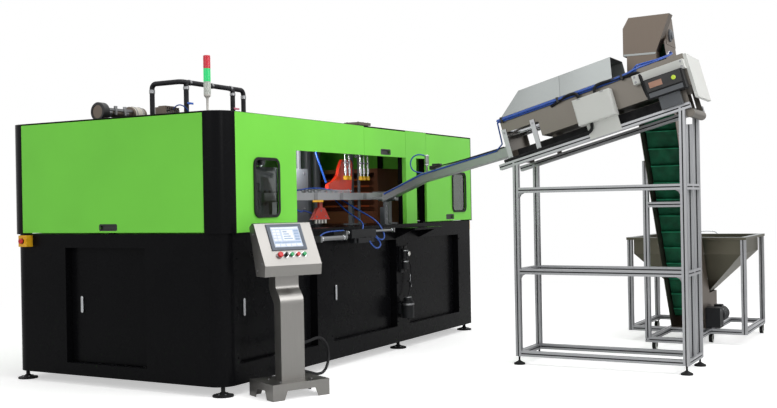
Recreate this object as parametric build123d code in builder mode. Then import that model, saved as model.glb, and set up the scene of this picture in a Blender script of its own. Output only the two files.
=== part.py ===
from build123d import *
import os
from math import cos, pi, radians, sin, tan

os.makedirs("parts", exist_ok=True)

# Blow moulding machine. Millimetres, +Z up. X runs along the cabinet's front, Y into the cabinet.
# The origin is on the floor, at the centre of the cabinet's front left levelling foot.

# Cabinet, overall
foot_inset = 90
hood_length = 4197
hood_depth = 2122
hood_top = 2000
split_height = 1141
hood_left_radius = 150
hood_right_radius = 60
base_inset = 24
base_bottom = 70
base_skin = 5
bed_thickness = 25
bottom_rail = 120
bottom_rail_height = 80
inner_corner = 5

hood_left = -foot_inset
hood_front = -foot_inset
hood_right = hood_left + hood_length
hood_back = hood_front + hood_depth
base_left = hood_left + base_inset
base_right = hood_right - base_inset
base_front = hood_front + base_inset
base_back = hood_back - base_inset

# Doors of the base. Places are measured from the hood's left and front faces.
front_door_starts = [210, 1458, 2776]
front_door_width = 1078
first_door_width = 1008
front_door_low = 215
front_door_high = 1005
end_door_start = 730
end_door_width = 800
end_door_low = 163
end_door_high = 1037
door_recess = 60
door_thickness = 20
door_skin = 3
door_gap = 3
hinge_gap = 14
reveal_wall = 6
reveal_depth = door_recess + door_thickness + 5
pivot_radius = 5
pivot_length = 25
pivot_end_gap = 5
pin_clearance = 0.05
running_gap = 2

# Swing handles
handle_length = 127
handle_width = 24
handle_thickness = 14
handle_shaft = 6
handle_setback = 115
handle_top = 667

# Levelling feet
foot_radius = 75
foot_stem = 15
stand_foot_radius = 46
stand_foot_stem = 8
middle_foot = 2660

# Hood sheets and openings
sheet = 3
hood_skin = 5
frame_bar = 40
web_wall = 8
post_reach = 160
bay_left = 916
bay_right = 2707
bay_top = 1750
hatch_left = 1950
slot_left = 2913
slot_right = 3119
sheet_gap = 3
cover_low = split_height + 10
cover_high = hood_top - 12
cover_fold = 22
window_corner = 45
left_window_x = (379, 673)
left_window_z = (1258, 1668)
right_window_x = (3691, 3991)
right_window_z = (1247, 1620)
pane_lap = 12
pane_thickness = 5
cover_pin = 5
cover_knuckle = 9
cover_pin_length = 24
pull_length = 172
pull_height = 45
pull_depth = 14

# Signal tower. From here on, places in the cabinet are measured from the hood's left and front faces.
tower_x = 420
tower_y = 450
tower_top = 2458
tower_radius = 27
tower_stem = 9
tower_lens = 97

# Roof pipes and fittings
pipe_radius = 20
pipe_height = 2320
pipe_x = (655, 1458)
pipe_y = (1200, 900)
fin_count = 7
fin_pitch = 24
fin_top = 118
blower_y = 1350
blower_z = 78
blower_steps = [(205, 265, 70), (265, 545, 34), (545, 690, 62)]

# Blow station inside the hood
station_x = 1550
station_y = 760
platen_half = 260
platen_wall = 40
platen_width = 440
mould_low = 1300
mould_height = 300
mould_width = 260
mould_depth = 110
carrier_width = 400
carrier_wall = 40
carrier_low = 1260
carrier_high = 1640
cavity_radius = 38
cavity_neck = 16
cavity_spread = 65
tie_bar_radius = 25
tie_bar_spread = 160
tie_bar_heights = (1300, 1600)
bar_clearance = 0.3

# Stretch rods and the column beside them
column_x = (2480, 2520)
column_y = (450, 490)
column_top = 1930
guide_place = (2560, 420)
guide_radius = 14
rod_places = [2046, 2111, 2305, 2362, 2432]
rod_y = 250
rod_radius = 9
rod_tip = 17
rod_collar = 14
carriage_low = 1790
carriage_thickness = 20

# Transfer rails, the bar between them and its gripper brackets
rail_section = (30, 60)
rail_top = 1430
rail_places = (205, 355)
rail_x = (960, 2900)
bar_x = (1200, 2780)
finger_start = 1300
finger_pitch = 95
bracket_front = 305
bracket_wall = 30
upper_bracket = [(1850, 1420), (2225, 1420), (2250, 1575), (2255, 1700), (2235, 1725), (2085, 1725),
                 (2035, 1650),
                 (2010, 1585), (1945, 1540), (1850, 1505)]
lower_bracket = [(1594, 1205), (1866, 1205), (1788, 1305), (1685, 1305)]
grip_tips = [1665, 1715, 1765, 1815]
grip_low = 1172

# Heating oven
oven_x = (3160, 3980)
oven_y = (560, 1500)
oven_top = 1680
oven_wall = 40
lamp_count = 5
lamp_pitch = 66

# Ejector under the bay
ejector_reach = 96
ejector_z = 1062
guide_z = 1098
ejector_x = (1110, 1480)
ejector_radius = 20
ejector_rod_radius = 8
guide_end = 2300
guide_rod_radius = 10
ejector_carriage = (1560, 1960)

# Air preparation between the middle door and the right one
air_x = 2620
bowl_places = (730, 830)
bowl_radius = 30
filter_low = 290
filter_radius = 56

# Shelf under the bay
shelf_x = (2470, 3050)
shelf_front = -205
shelf_top = 1109
shelf_lip = 19
shelf_webs = (2520, 2990)

# Emergency stop boxes
stop_box = 88
stop_box_depth = 62
stop_stem = 11
stop_head = 20
stop_head_length = 16
stop_travel = 5

# Pedestal
pedestal_x = 58
pedestal_y = -360
pedestal_turn = -25.5
pedestal_width = 450
pedestal_depth = 340
pedestal_plate = 113
pedestal_foot = 90
column_width = 186
column_depth = 92
head_width = 452
button_radius = 11
button_head = 14
button_travel = 4
pedestal_wall = 3
cable_radius = 11
gland_radius = 16

# Aluminium profile, 45 mm with a slot in each side
profile_size = 45
slot_width = 10
slot_depth = 12

# Sorter stand
stand_x = (2209, 2666)
stand_y = (-1283, -2628)
stand_bottom = 67
stand_beams = (90, 758, 1418)
slope_angle = 15.3
slope_y = -1140
slope_top = 1630
slope_length = 1600

# Sorter
trough_half = 225
trough_wall = 4
trough_start = 100
trough_end = 1650
trough_top = 370
roller_radius = 38
roller_shaft = 12
roller_spread = 55
roller_height = 250
lid_seam = 650
lid_end = 1090
lid_ridge = 560
lid_edge = 232
lid_shoulder = 110
lid_wall = 2
lid_slant = 165
lid_pin = 4
lid_knuckle = 8

# Elevator. The belt runs nearer the upper edge of its side plates than the lower one.
lift_angle = 61
lift_x = 4040
lift_z = 180
lift_length = 2780
lift_y = -2255
lift_half = 155
lift_wall = 4
lift_below = 110
lift_above = 210
belt_rise = 79
belt_half = 140
drum_radius = 65
drum_shaft = 15
tail_drum = 100
belt_thickness = 5
cleat_height = 34
cleat_pitch = 165

# Hopper and trolley
hopper_x = (3930, 4950)
hopper_y = (-2770, -1700)
hopper_rim = 970
hopper_skirt = 815
hopper_inset = 50
hopper_lip = 22
hopper_throat_z = 450
hopper_throat_x = (4150, 4400)
hopper_wall = 3
caster_radius = 40
caster_width = 30
caster_height = 95
trolley_x = 3210
trolley_post_top = 1660
trolley_cross = 1280


def mx(distance):
    """Place along the cabinet, from the hood's left end."""
    return hood_left + distance


def my(distance):
    """Place across the cabinet, from the hood's front face."""
    return hood_front + distance


def block_on(plane, x, y, z, mode=Mode.ADD):
    """A block between two values on each axis of the plane."""
    middle = ((x[0] + x[1]) / 2, (y[0] + y[1]) / 2, (z[0] + z[1]) / 2)
    place = Plane(origin=plane.from_local_coords(middle), x_dir=plane.x_dir, z_dir=plane.z_dir)
    with Locations(place):
        Box(abs(x[1] - x[0]), abs(y[1] - y[0]), abs(z[1] - z[0]), mode=mode)


def block(x, y, z, mode=Mode.ADD):
    block_on(Plane.XY, x, y, z, mode)


def prism(plane, points, amount, mode=Mode.ADD):
    """A closed outline on the plane, pushed along its normal."""
    with BuildSketch(plane) as shape:
        with BuildLine():
            Polyline(*points, close=True)
        make_face()
    extrude(shape.sketch, amount=amount, mode=mode)


def rod(start, end, radius, mode=Mode.ADD, inner=0):
    """A round bar between two points, hollow where an inner radius is given."""
    way = Vector(*end) - Vector(*start)
    with BuildSketch(Plane(origin=start, z_dir=way)) as section:
        Circle(radius)
        if inner:
            Circle(inner, mode=Mode.SUBTRACT)
    extrude(section.sketch, amount=way.length, mode=mode)


def profile(start, end, side=(1, 0, 0)):
    """An aluminium profile between two points, with one side facing the given way."""
    way = Vector(*end) - Vector(*start)
    with BuildSketch(Plane(origin=start, x_dir=side, z_dir=way)) as section:
        Rectangle(profile_size, profile_size)
        reach = (profile_size - slot_depth) / 2
        with PolarLocations(reach, 4):
            Rectangle(slot_depth, slot_width, mode=Mode.SUBTRACT)
    extrude(section.sketch, amount=way.length)


def plan(plane, inset, left, right, front, back, left_radius, right_radius):
    """A plan outline with rounded left and right corners, moved in by an inset."""
    with BuildSketch(plane) as shape:
        with Locations(((left + right) / 2, (front + back) / 2)):
            Rectangle(right - left - 2 * inset, back - front - 2 * inset)
        fillet(shape.vertices().group_by(Axis.X)[0], max(left_radius - inset, inner_corner))
        fillet(shape.vertices().group_by(Axis.X)[-1], max(right_radius - inset, inner_corner))
    return shape.sketch


def base_plan(height, inset):
    return plan(Plane.XY.offset(height), inset, base_left, base_right, base_front, base_back,
                hood_left_radius - base_inset, hood_right_radius - base_inset)


def hood_plan(height, inset):
    return plan(Plane.XY.offset(height), inset, hood_left, hood_right, hood_front, hood_back,
                hood_left_radius, hood_right_radius)


def save(part, name):
    part.label = name
    export_step(part, "parts/" + name + ".step")


def at(plane, x, y, z):
    """A point given on a plane, as a tuple."""
    point = plane.from_local_coords((x, y, z))
    return (point.X, point.Y, point.Z)


# Door openings: x range from the hood's left face
door_widths = [first_door_width, front_door_width, front_door_width]
front_openings = []
for start, width in zip(front_door_starts, door_widths):
    front_openings.append((mx(start), mx(start + width)))
front_z = (front_door_low, front_door_high)
end_opening = (my(end_door_start), my(end_door_start + end_door_width))
end_z = (end_door_low, end_door_high)
door_face_y = base_front + door_recess
door_face_x = base_left + door_recess
door_axis_y = door_face_y + door_thickness / 2
door_axis_x = door_face_x + door_thickness / 2


def reveal(x, y, z, wall, way):
    """A folded frame around a door opening, and the opening through it."""
    if way == "y":
        block((x[0] - wall, x[1] + wall), y, (z[0] - wall, z[1] + wall))
        block(x, (y[0] - 1, y[1] + 1), z, mode=Mode.SUBTRACT)
    else:
        block(x, (y[0] - wall, y[1] + wall), (z[0] - wall, z[1] + wall))
        block((x[0] - 1, x[1] + 1), y, z, mode=Mode.SUBTRACT)


with BuildPart() as base_frame:
    extrude(base_plan(base_bottom, 0), amount=split_height - base_bottom)
    extrude(base_plan(base_bottom, bottom_rail), amount=bottom_rail_height, mode=Mode.SUBTRACT)
    inner_low = base_bottom + bottom_rail_height
    inner_high = split_height - bed_thickness
    extrude(base_plan(inner_low, base_skin), amount=inner_high - inner_low, mode=Mode.SUBTRACT)
    for opening in front_openings:
        reveal(opening, (base_front, base_front + reveal_depth), front_z, reveal_wall, "y")
        reveal(opening, (base_back - reveal_depth, base_back), front_z, reveal_wall, "y")
        hinge_x = opening[1] - hinge_gap
        rod((hinge_x, door_axis_y, front_z[0]), (hinge_x, door_axis_y, front_z[0] + pivot_length),
            pivot_radius)
        rod((hinge_x, door_axis_y, front_z[1] - pivot_length), (hinge_x, door_axis_y, front_z[1]),
            pivot_radius)
    reveal((base_left, base_left + reveal_depth), end_opening, end_z, reveal_wall, "x")
    reveal((base_right - reveal_depth, base_right), end_opening, end_z, reveal_wall, "x")
    end_hinge_y = end_opening[0] + hinge_gap
    rod((door_axis_x, end_hinge_y, end_z[0]), (door_axis_x, end_hinge_y, end_z[0] + pivot_length),
        pivot_radius)
    rod((door_axis_x, end_hinge_y, end_z[1] - pivot_length), (door_axis_x, end_hinge_y, end_z[1]),
        pivot_radius)
    rod((mx(740), base_front - 22, 105), (mx(740), base_front, 105), gland_radius)
save(base_frame.part, "base_frame")

with BuildPart() as base_panels:
    for opening in front_openings:
        block(opening, (base_back - reveal_depth, base_back - reveal_depth + reveal_wall), front_z)
    block((base_right - reveal_depth, base_right - reveal_depth + reveal_wall), end_opening, end_z)
    shelf = (mx(shelf_x[0]), mx(shelf_x[1]))
    shelf_under = shelf_top - sheet
    block(shelf, (my(shelf_front), base_front), (shelf_under, shelf_top))
    block(shelf, (my(shelf_front), my(shelf_front) + sheet), (shelf_top - shelf_lip, shelf_top))
    web_reach = base_front - my(shelf_front) - 39
    for web_x in shelf_webs:
        shelf_side = Plane(origin=(mx(web_x), base_front, 0), x_dir=(0, -1, 0), z_dir=(-1, 0, 0))
        prism(shelf_side, [(0, shelf_under), (web_reach, shelf_under), (web_reach, shelf_under - 12),
                           (0, shelf_under - 96)], 4)
save(base_panels.part, "base_panels")


def door_on(plane, width, height, handle_height, name):
    """A recessed pan door. Its plane has z outwards and y up, and the hinge axis at x = 0, half
    way through the door, which reaches to x = -width."""
    half = door_thickness / 2
    rim = door_skin + door_thickness
    stop = pivot_length + pivot_end_gap
    with BuildPart() as door:
        block_on(plane, (-width, 0), (0, height), (-half, half))
        rod(at(plane, 0, 0, 0), at(plane, 0, height, 0), half)
        block_on(plane, (door_skin - width, -rim), (rim, height - rim), (-half, half - door_skin),
                 Mode.SUBTRACT)
        rod(at(plane, 0, -1, 0), at(plane, 0, stop, 0), pivot_radius + pin_clearance, Mode.SUBTRACT)
        rod(at(plane, 0, height - stop, 0), at(plane, 0, height + 1, 0), pivot_radius + pin_clearance,
            Mode.SUBTRACT)
        shaft = handle_setback - width
        rod(at(plane, shaft, handle_height, 0), at(plane, shaft, handle_height, half + 1),
            handle_shaft + pin_clearance, Mode.SUBTRACT)
    save(door.part, name)


def handle_on(plane, width, handle_height, name):
    """A swing handle that hangs from its shaft, on the same plane as its door."""
    half = door_thickness / 2
    shaft = handle_setback - width
    back = half - door_skin - running_gap
    with BuildPart() as handle:
        with BuildSketch(plane.offset(half + running_gap)) as lever:
            with Locations((shaft, handle_height - (handle_length - handle_width) / 2)):
                SlotOverall(handle_length, handle_width, rotation=90)
        extrude(lever.sketch, amount=handle_thickness)
        fillet(handle.faces().sort_by(Axis(plane.origin, plane.z_dir))[-1].edges(), 3)
        rod(at(plane, shaft, handle_height, back - 5), at(plane, shaft, handle_height, half + running_gap),
            handle_shaft)
        rod(at(plane, shaft, handle_height, back - 5), at(plane, shaft, handle_height, back),
            handle_shaft + 5)
    save(handle.part, name)


handle_height = handle_top - handle_width / 2
front_door_names = ["front_door_left", "front_door_middle", "front_door_right"]
front_handle_names = ["left_door_handle", "middle_door_handle", "right_door_handle"]
for opening, door_name, handle_name in zip(front_openings, front_door_names, front_handle_names):
    low = front_z[0] + door_gap
    door_plane = Plane(origin=(opening[1] - hinge_gap, door_axis_y, low), x_dir=(1, 0, 0), z_dir=(0, -1, 0))
    door_width = opening[1] - opening[0] - hinge_gap - door_gap
    door_height = front_z[1] - front_z[0] - 2 * door_gap
    door_on(door_plane, door_width, door_height, handle_height - low, door_name)
    handle_on(door_plane, door_width, handle_height - low, handle_name)

low = end_z[0] + door_gap
end_plane = Plane(origin=(door_axis_x, end_hinge_y, low), x_dir=(0, -1, 0), z_dir=(-1, 0, 0))
door_width = end_opening[1] - end_opening[0] - hinge_gap - door_gap
door_height = end_z[1] - end_z[0] - 2 * door_gap
door_on(end_plane, door_width, door_height, handle_height - low, "end_door")
handle_on(end_plane, door_width, handle_height - low, "end_door_handle")

# Feet: a round pad, a cone and a stem up to the base
def foot(x, y, radius, stem, top):
    with BuildSketch(Plane(origin=(x, y, 0), x_dir=(1, 0, 0), z_dir=(0, -1, 0))) as half_section:
        with BuildLine():
            Polyline((0, 0), (radius, 0), (radius, 12), (stem + 14, 24), (stem, 34), (stem, top), (0, top),
                     close=True)
        make_face()
    revolve(half_section.sketch, axis=Axis((x, y, 0), (0, 0, 1)))


cabinet_feet = []
for foot_x in (0, mx(middle_foot), hood_length - 2 * foot_inset):
    for foot_y in (0, hood_depth - 2 * foot_inset):
        cabinet_feet.append((foot_x, foot_y))
stand_feet = []
for foot_x in stand_x:
    for foot_y in stand_y:
        stand_feet.append((mx(foot_x), my(foot_y)))

# Casters: a plate under the trolley, a fork and a wheel
caster_places = [(3420, -2078), (3420, -2432), (4060, -2432), (4880, -2745), (4880, -1725)]


def caster(x, y):
    axle = caster_radius
    side = caster_width / 2 + running_gap
    block((x - 28, x + 28), (y - 24, y + 24), (caster_height - 6, caster_height))
    for way in (-1, 1):
        block((x - 14, x + 14), (y + way * side, y + way * (side + 3)), (axle - 12, caster_height - 6))
    rod((x, y - side - 3, axle), (x, y + side + 3, axle), 4)


def caster_wheel(x, y):
    rod((x, y - caster_width / 2, caster_radius), (x, y + caster_width / 2, caster_radius), caster_radius,
        inner=4 + pin_clearance)


with BuildPart() as feet_and_casters:
    for x, y in cabinet_feet:
        foot(x, y, foot_radius, foot_stem, base_bottom)
    for x, y in stand_feet:
        foot(x, y, stand_foot_radius, stand_foot_stem, stand_bottom)
    for x, y in caster_places:
        caster(mx(x), my(y))
    for x, y in caster_places:
        caster_wheel(mx(x), my(y))
save(feet_and_casters.part, "feet_and_casters")

# Hood frame: rounded corner skins, a top ring, upright bars and the brackets that carry the covers' pins
front_plane = Plane(origin=(hood_left, hood_front, 0), x_dir=(1, 0, 0), z_dir=(0, -1, 0))
left_plane = Plane(origin=(hood_left, hood_front, 0), x_dir=(0, -1, 0), z_dir=(-1, 0, 0))
ring_set_in = hood_skin + frame_bar
ring_low = hood_top - sheet - frame_bar
pin_back = 14
pin_down = 14
pin_height = cover_high - pin_down
front_bars = [bay_left - frame_bar, bay_right, slot_left - frame_bar, slot_right + 6, 4050]


def pin_bracket(plane, edge, way):
    """A bracket behind the sheets beside a cover, with the pin that its knuckle turns on."""
    start = edge + way * sheet_gap
    block_on(plane, (edge, edge - way * 20), (pin_height - 12, pin_height + 8), (-ring_set_in, -hood_skin))
    rod(at(plane, edge, pin_height, -pin_back),
        at(plane, start + way * cover_pin_length, pin_height, -pin_back), cover_pin)


with BuildPart() as hood_frame:
    extrude(hood_plan(split_height, 0), amount=hood_top - sheet - split_height)
    extrude(hood_plan(split_height, hood_skin), amount=hood_top - sheet - split_height, mode=Mode.SUBTRACT)
    tall = (split_height - 1, hood_top + 1)
    right_reach = hood_length - hood_right_radius
    block((mx(post_reach), mx(right_reach)), (hood_front - 1, hood_back + 1), tall, Mode.SUBTRACT)
    block((hood_left - 1, mx(post_reach)), (my(post_reach), my(hood_depth - post_reach)), tall, Mode.SUBTRACT)
    block((mx(right_reach), hood_right + 1), (my(hood_right_radius), my(hood_depth - hood_right_radius)),
          tall,
          Mode.SUBTRACT)
    with BuildSketch(Plane.XY.offset(ring_low)) as ring:
        add(hood_plan(ring_low, ring_set_in))
        add(hood_plan(ring_low, ring_set_in + frame_bar), mode=Mode.SUBTRACT)
    extrude(ring.sketch, amount=frame_bar)
    upright = (split_height, hood_top - sheet)
    near = (my(ring_set_in), my(ring_set_in + frame_bar))
    far = (my(hood_depth - ring_set_in - frame_bar), my(hood_depth - ring_set_in))
    for place in front_bars:
        block((mx(place), mx(place + frame_bar)), near, upright)
        block((mx(place), mx(place + frame_bar)), far, upright)
    side_bar = (my(hood_depth / 2), my(hood_depth / 2 + frame_bar))
    block((mx(ring_set_in), mx(ring_set_in + frame_bar)), side_bar, upright)
    block((mx(hood_length - ring_set_in - frame_bar), mx(hood_length - ring_set_in)), side_bar, upright)
    web = (hood_skin - 1, ring_set_in + frame_bar)
    near_web = (my(web[0]), my(web[1]))
    far_web = (my(hood_depth - web[1]), my(hood_depth - web[0]))
    left_web = (mx(web[0]), mx(web[1]))
    right_web = (mx(hood_length - web[1]), mx(hood_length - web[0]))
    left_edge = post_reach - web_wall
    for edge_y in (near_web, far_web):
        block((mx(left_edge), mx(post_reach)), edge_y, upright)
        block((mx(right_reach), mx(right_reach + web_wall)), edge_y, upright)
    block(left_web, (my(left_edge), my(post_reach)), upright)
    block(left_web, (my(hood_depth - post_reach), my(hood_depth - left_edge)), upright)
    block(right_web, (my(hood_right_radius - web_wall), my(hood_right_radius)), upright)
    block(right_web, (my(hood_depth - hood_right_radius), my(hood_depth - hood_right_radius + web_wall)),
          upright)
    pin_bracket(front_plane, hatch_left, 1)
    pin_bracket(front_plane, bay_right, -1)
    pin_bracket(front_plane, slot_right, 1)
    pin_bracket(front_plane, right_reach, -1)
    pin_bracket(left_plane, -(hood_depth - post_reach), 1)
    pin_bracket(left_plane, -post_reach, -1)
save(hood_frame.part, "hood_frame")


def cover_on(plane, x, low, high, name, window=None):
    """A lift-up sheet cover, folded back along its edges, with a cup pull low down and a knuckle
    at each top corner. On its plane x runs along the sheet, y is up and z points outwards."""
    left = x[0] + sheet_gap
    right = x[1] - sheet_gap
    middle = (left + right) / 2
    with BuildPart() as cover:
        block_on(plane, (left, right), (low, high), (-cover_fold, 0))
        block_on(plane, (left + sheet, right - sheet), (low + sheet, high - sheet), (-cover_fold - 1, -sheet),
                 Mode.SUBTRACT)
        for edge, way in ((left, 1), (right, -1)):
            block_on(plane, (edge, edge + way * (cover_pin_length + 4)),
                     (pin_height - cover_knuckle, high), (-cover_fold, -sheet))
            rod(at(plane, edge - way, pin_height, -pin_back),
                at(plane, edge + way * cover_pin_length, pin_height, -pin_back),
                cover_pin + pin_clearance, Mode.SUBTRACT)
        pull = (low + 16, low + 16 + pull_height)
        block_on(plane, (middle - pull_length / 2, middle + pull_length / 2), pull, (-pull_depth - sheet, 0))
        block_on(plane, (middle - pull_length / 2 + sheet, middle + pull_length / 2 - sheet),
                 (pull[0] + sheet, pull[1] - sheet), (-pull_depth, 1), Mode.SUBTRACT)
        if window:
            with BuildSketch(plane) as hole:
                with Locations(((window[0][0] + window[0][1]) / 2, (window[1][0] + window[1][1]) / 2)):
                    RectangleRounded(window[0][1] - window[0][0], window[1][1] - window[1][0], window_corner)
            extrude(hole.sketch, amount=-sheet - 1, mode=Mode.SUBTRACT)
    save(cover.part, name)


cover_on(left_plane, (-(hood_depth - post_reach), -post_reach), cover_low, cover_high, "end_cover")
cover_on(front_plane, (slot_right, right_reach), cover_low, cover_high, "right_cover",
         (right_window_x, right_window_z))
cover_on(front_plane, (hatch_left, bay_right), bay_top, cover_high, "lintel_hatch")

# Fixed green sheets
back_plane = Plane(origin=(hood_right, hood_back, 0), x_dir=(-1, 0, 0), z_dir=(0, 1, 0))
sheet_low = split_height + 2
sheet_high = hood_top - sheet
flange_low = sheet_high - 12
jamb_depth = ring_set_in - hood_skin


def window_hole(x, z):
    with BuildSketch(front_plane) as hole:
        with Locations(((x[0] + x[1]) / 2, (z[0] + z[1]) / 2)):
            RectangleRounded(x[1] - x[0], z[1] - z[0], window_corner)
    extrude(hole.sketch, amount=-sheet - 1, mode=Mode.SUBTRACT)


with BuildPart() as hood_panels:
    left_outline = [(post_reach, sheet_low), (bay_left, sheet_low), (bay_left, bay_top),
                    (hatch_left, bay_top),
                    (hatch_left, sheet_high), (post_reach, sheet_high)]
    prism(front_plane, left_outline, -sheet)
    window_hole(left_window_x, left_window_z)
    block_on(front_plane, (bay_left - sheet, bay_left), (sheet_low, bay_top), (-jamb_depth, -sheet))
    block_on(front_plane, (post_reach + 8, bay_left), (flange_low, flange_low + sheet),
             (-ring_set_in, -sheet))
    right_outline = [(bay_right, sheet_low), (slot_left, sheet_low), (slot_left, bay_top),
                     (slot_right, bay_top),
                     (slot_right, sheet_high), (bay_right, sheet_high)]
    prism(front_plane, right_outline, -sheet)
    block_on(front_plane, (bay_right, bay_right + sheet), (sheet_low, bay_top), (-jamb_depth, -sheet))
    block_on(front_plane, (bay_right + 24, slot_right - 24), (flange_low, flange_low + sheet),
             (-ring_set_in, -sheet))
    back_middle = (hood_right_radius + hood_length - post_reach) / 2
    for left, right in ((hood_right_radius, back_middle - 1), (back_middle + 1, hood_length - post_reach)):
        block_on(back_plane, (left, right), (sheet_low, sheet_high), (-sheet, 0))
        block_on(back_plane, (left + 20, right - 20), (flange_low, flange_low + sheet),
                 (-ring_set_in, -sheet))
    block((hood_right - sheet, hood_right), (my(hood_right_radius), my(hood_depth - hood_right_radius)),
          (sheet_low, sheet_high))
    block((mx(hood_length - ring_set_in), hood_right - sheet),
          (my(hood_right_radius + 20), my(hood_depth - hood_right_radius - 20)),
          (flange_low, flange_low + sheet))
save(hood_panels.part, "hood_panels")

with BuildPart() as roof_panel:
    extrude(hood_plan(hood_top - sheet, 0), amount=sheet)
save(roof_panel.part, "roof_panel")


def pane(x, z, name):
    with BuildPart() as glass:
        with BuildSketch(front_plane.offset(-sheet)) as shape:
            with Locations(((x[0] + x[1]) / 2, (z[0] + z[1]) / 2)):
                RectangleRounded(x[1] - x[0] + 2 * pane_lap, z[1] - z[0] + 2 * pane_lap,
                                 window_corner + pane_lap)
        extrude(shape.sketch, amount=-pane_thickness)
    save(glass.part, name)


pane(left_window_x, left_window_z, "left_window")
pane(right_window_x, right_window_z, "right_window")

# Signal tower: foot, stem, clear base and three lenses
with BuildPart() as signal_tower:
    tower = (mx(tower_x), my(tower_y))
    lens_base = tower_top - 3 * tower_lens - 22
    rod((*tower, hood_top), (*tower, hood_top + 8), 24)
    rod((*tower, hood_top + 8), (*tower, lens_base), tower_stem)
    rod((*tower, lens_base), (*tower, tower_top - 3 * tower_lens), tower_radius)
    for index in range(3):
        low = tower_top - (index + 1) * tower_lens
        rod((*tower, low), (*tower, low + tower_lens - 4), tower_radius)
        rod((*tower, low + tower_lens - 4), (*tower, low + tower_lens), tower_radius - 2)
save(signal_tower.part, "signal_tower")

# Insulated pipes on the roof, bent in one piece each
def bent_pipe(points, bend, radius):
    with BuildLine() as path:
        FilletPolyline(*points, radius=bend)
    start = path.line @ 0
    with BuildSketch(Plane(origin=start, z_dir=path.line % 0)) as section:
        Circle(radius)
    sweep(section.sketch, path=path.line)


with BuildPart() as roof_pipes:
    near = my(pipe_y[1])
    start_x = mx(pipe_x[0])
    end_x = mx(pipe_x[1])
    bent_pipe([(start_x, my(pipe_y[0]), hood_top), (start_x, my(pipe_y[0]), pipe_height),
               (start_x, near, pipe_height),
               (end_x, near, pipe_height), (end_x, near, hood_top)], 2 * pipe_radius, pipe_radius)
    for drop in (start_x + 3 * pipe_radius, end_x - 148):
        rod((drop, near, hood_top), (drop, near, pipe_height), pipe_radius)
save(roof_pipes.part, "roof_pipes")

# Finned air unit, low vent box and blower on the roof
with BuildPart() as roof_fittings:
    block((mx(530), mx(700)), (my(950), my(1070)), (hood_top, hood_top + 20))
    for index in range(fin_count):
        fin_x = mx(536 + index * fin_pitch)
        block((fin_x, fin_x + fin_pitch / 2), (my(955), my(1065)), (hood_top + 20, hood_top + fin_top))
    block((mx(550), mx(680)), (my(975), my(1045)), (hood_top + 20, hood_top + fin_top + 10))
    block((mx(2600), mx(2780)), (my(440), my(560)), (hood_top, hood_top + 70))
    block((mx(2580), mx(2800)), (my(420), my(580)), (hood_top + 70, hood_top + 95))
    axis_z = hood_top + blower_z
    for start, end, radius in blower_steps:
        rod((mx(start), my(blower_y), axis_z), (mx(end), my(blower_y), axis_z), radius)
    for foot_x in (220, 600):
        block((mx(foot_x), mx(foot_x + 40)), (my(blower_y - 60), my(blower_y + 60)),
              (hood_top, hood_top + 30))
save(roof_fittings.part, "roof_fittings")

# Blow station: two end platens on four tie bars, with a mould half on each side of the middle
middle_x = mx(station_x)
middle_y = my(station_y)


def through_bars(radius, y, mode=Mode.ADD):
    for way in (-1, 1):
        for height in tie_bar_heights:
            bar = middle_x + way * tie_bar_spread
            rod((bar, y[0], height), (bar, y[1], height), radius, mode)


with BuildPart() as clamp_frame:
    for way in (-1, 1):
        near = middle_y + way * platen_half
        far = near + way * platen_wall
        block((middle_x - platen_width / 2, middle_x + platen_width / 2), (near, far),
              (split_height, carrier_high))
    through_bars(tie_bar_radius, (middle_y - platen_half, middle_y + platen_half))
    # The column of the stretch rods, its foot and the round guide under its head
    block((mx(column_x[0]), mx(column_x[1])), (my(column_y[0]), my(column_y[1])), (split_height, column_top))
    block((mx(column_x[0] - 40), mx(guide_place[0] + 40)), (my(guide_place[1] - 40), my(column_y[1] + 30)),
          (split_height, split_height + 12))
    guide = (mx(guide_place[0]), my(guide_place[1]))
    rod((*guide, split_height + 12), (*guide, column_top), guide_radius)
    block((mx(column_x[0]), mx(guide_place[0] + 20)), (my(guide_place[1] - 20), my(column_y[1])),
          (column_top, column_top + 20))
    # Two upright cylinders behind the station
    for cylinder_x in (2640, 2800):
        rod((mx(cylinder_x), my(1050), split_height), (mx(cylinder_x), my(1050), column_top), 48)
        rod((mx(cylinder_x), my(1050), split_height), (mx(cylinder_x), my(1050), split_height + 20), 64)
    # The nozzle plate seen through the left window
    block((mx(960), mx(1240)), (my(420), my(460)), (split_height, carrier_high))
    block((mx(960), mx(1240)), (my(382), my(420)), (1450, 1510))
    for nozzle in range(4):
        nozzle_x = mx(1000 + nozzle * 66)
        rod((nozzle_x, my(400), 1330), (nozzle_x, my(400), 1450), 14)
save(clamp_frame.part, "clamp_frame")


def mould(way, name):
    """Half of the mould, on a carrier plate that slides on the tie bars."""
    face = middle_y + way * bar_clearance
    carrier = face + way * mould_depth
    inside = carrier - way * carrier_wall
    bottle = (mould_low + 20, mould_low + 220)
    with BuildPart() as half:
        block((middle_x - mould_width / 2, middle_x + mould_width / 2), (face, carrier),
              (mould_low, mould_low + mould_height))
        block((middle_x - carrier_width / 2, middle_x + carrier_width / 2), (inside, carrier),
              (carrier_low, carrier_high))
        through_bars(tie_bar_radius + pin_clearance, (inside - way, carrier + way), Mode.SUBTRACT)
        for side in (-1, 1):
            bottle_x = middle_x + side * cavity_spread
            rod((bottle_x, middle_y, bottle[0]), (bottle_x, middle_y, bottle[1]), cavity_radius,
                Mode.SUBTRACT)
            rod((bottle_x, middle_y, bottle[1] - 1), (bottle_x, middle_y, mould_low + mould_height + 1),
                cavity_neck,
                Mode.SUBTRACT)
    save(half.part, name)


mould(-1, "mould_front")
mould(1, "mould_back")

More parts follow.
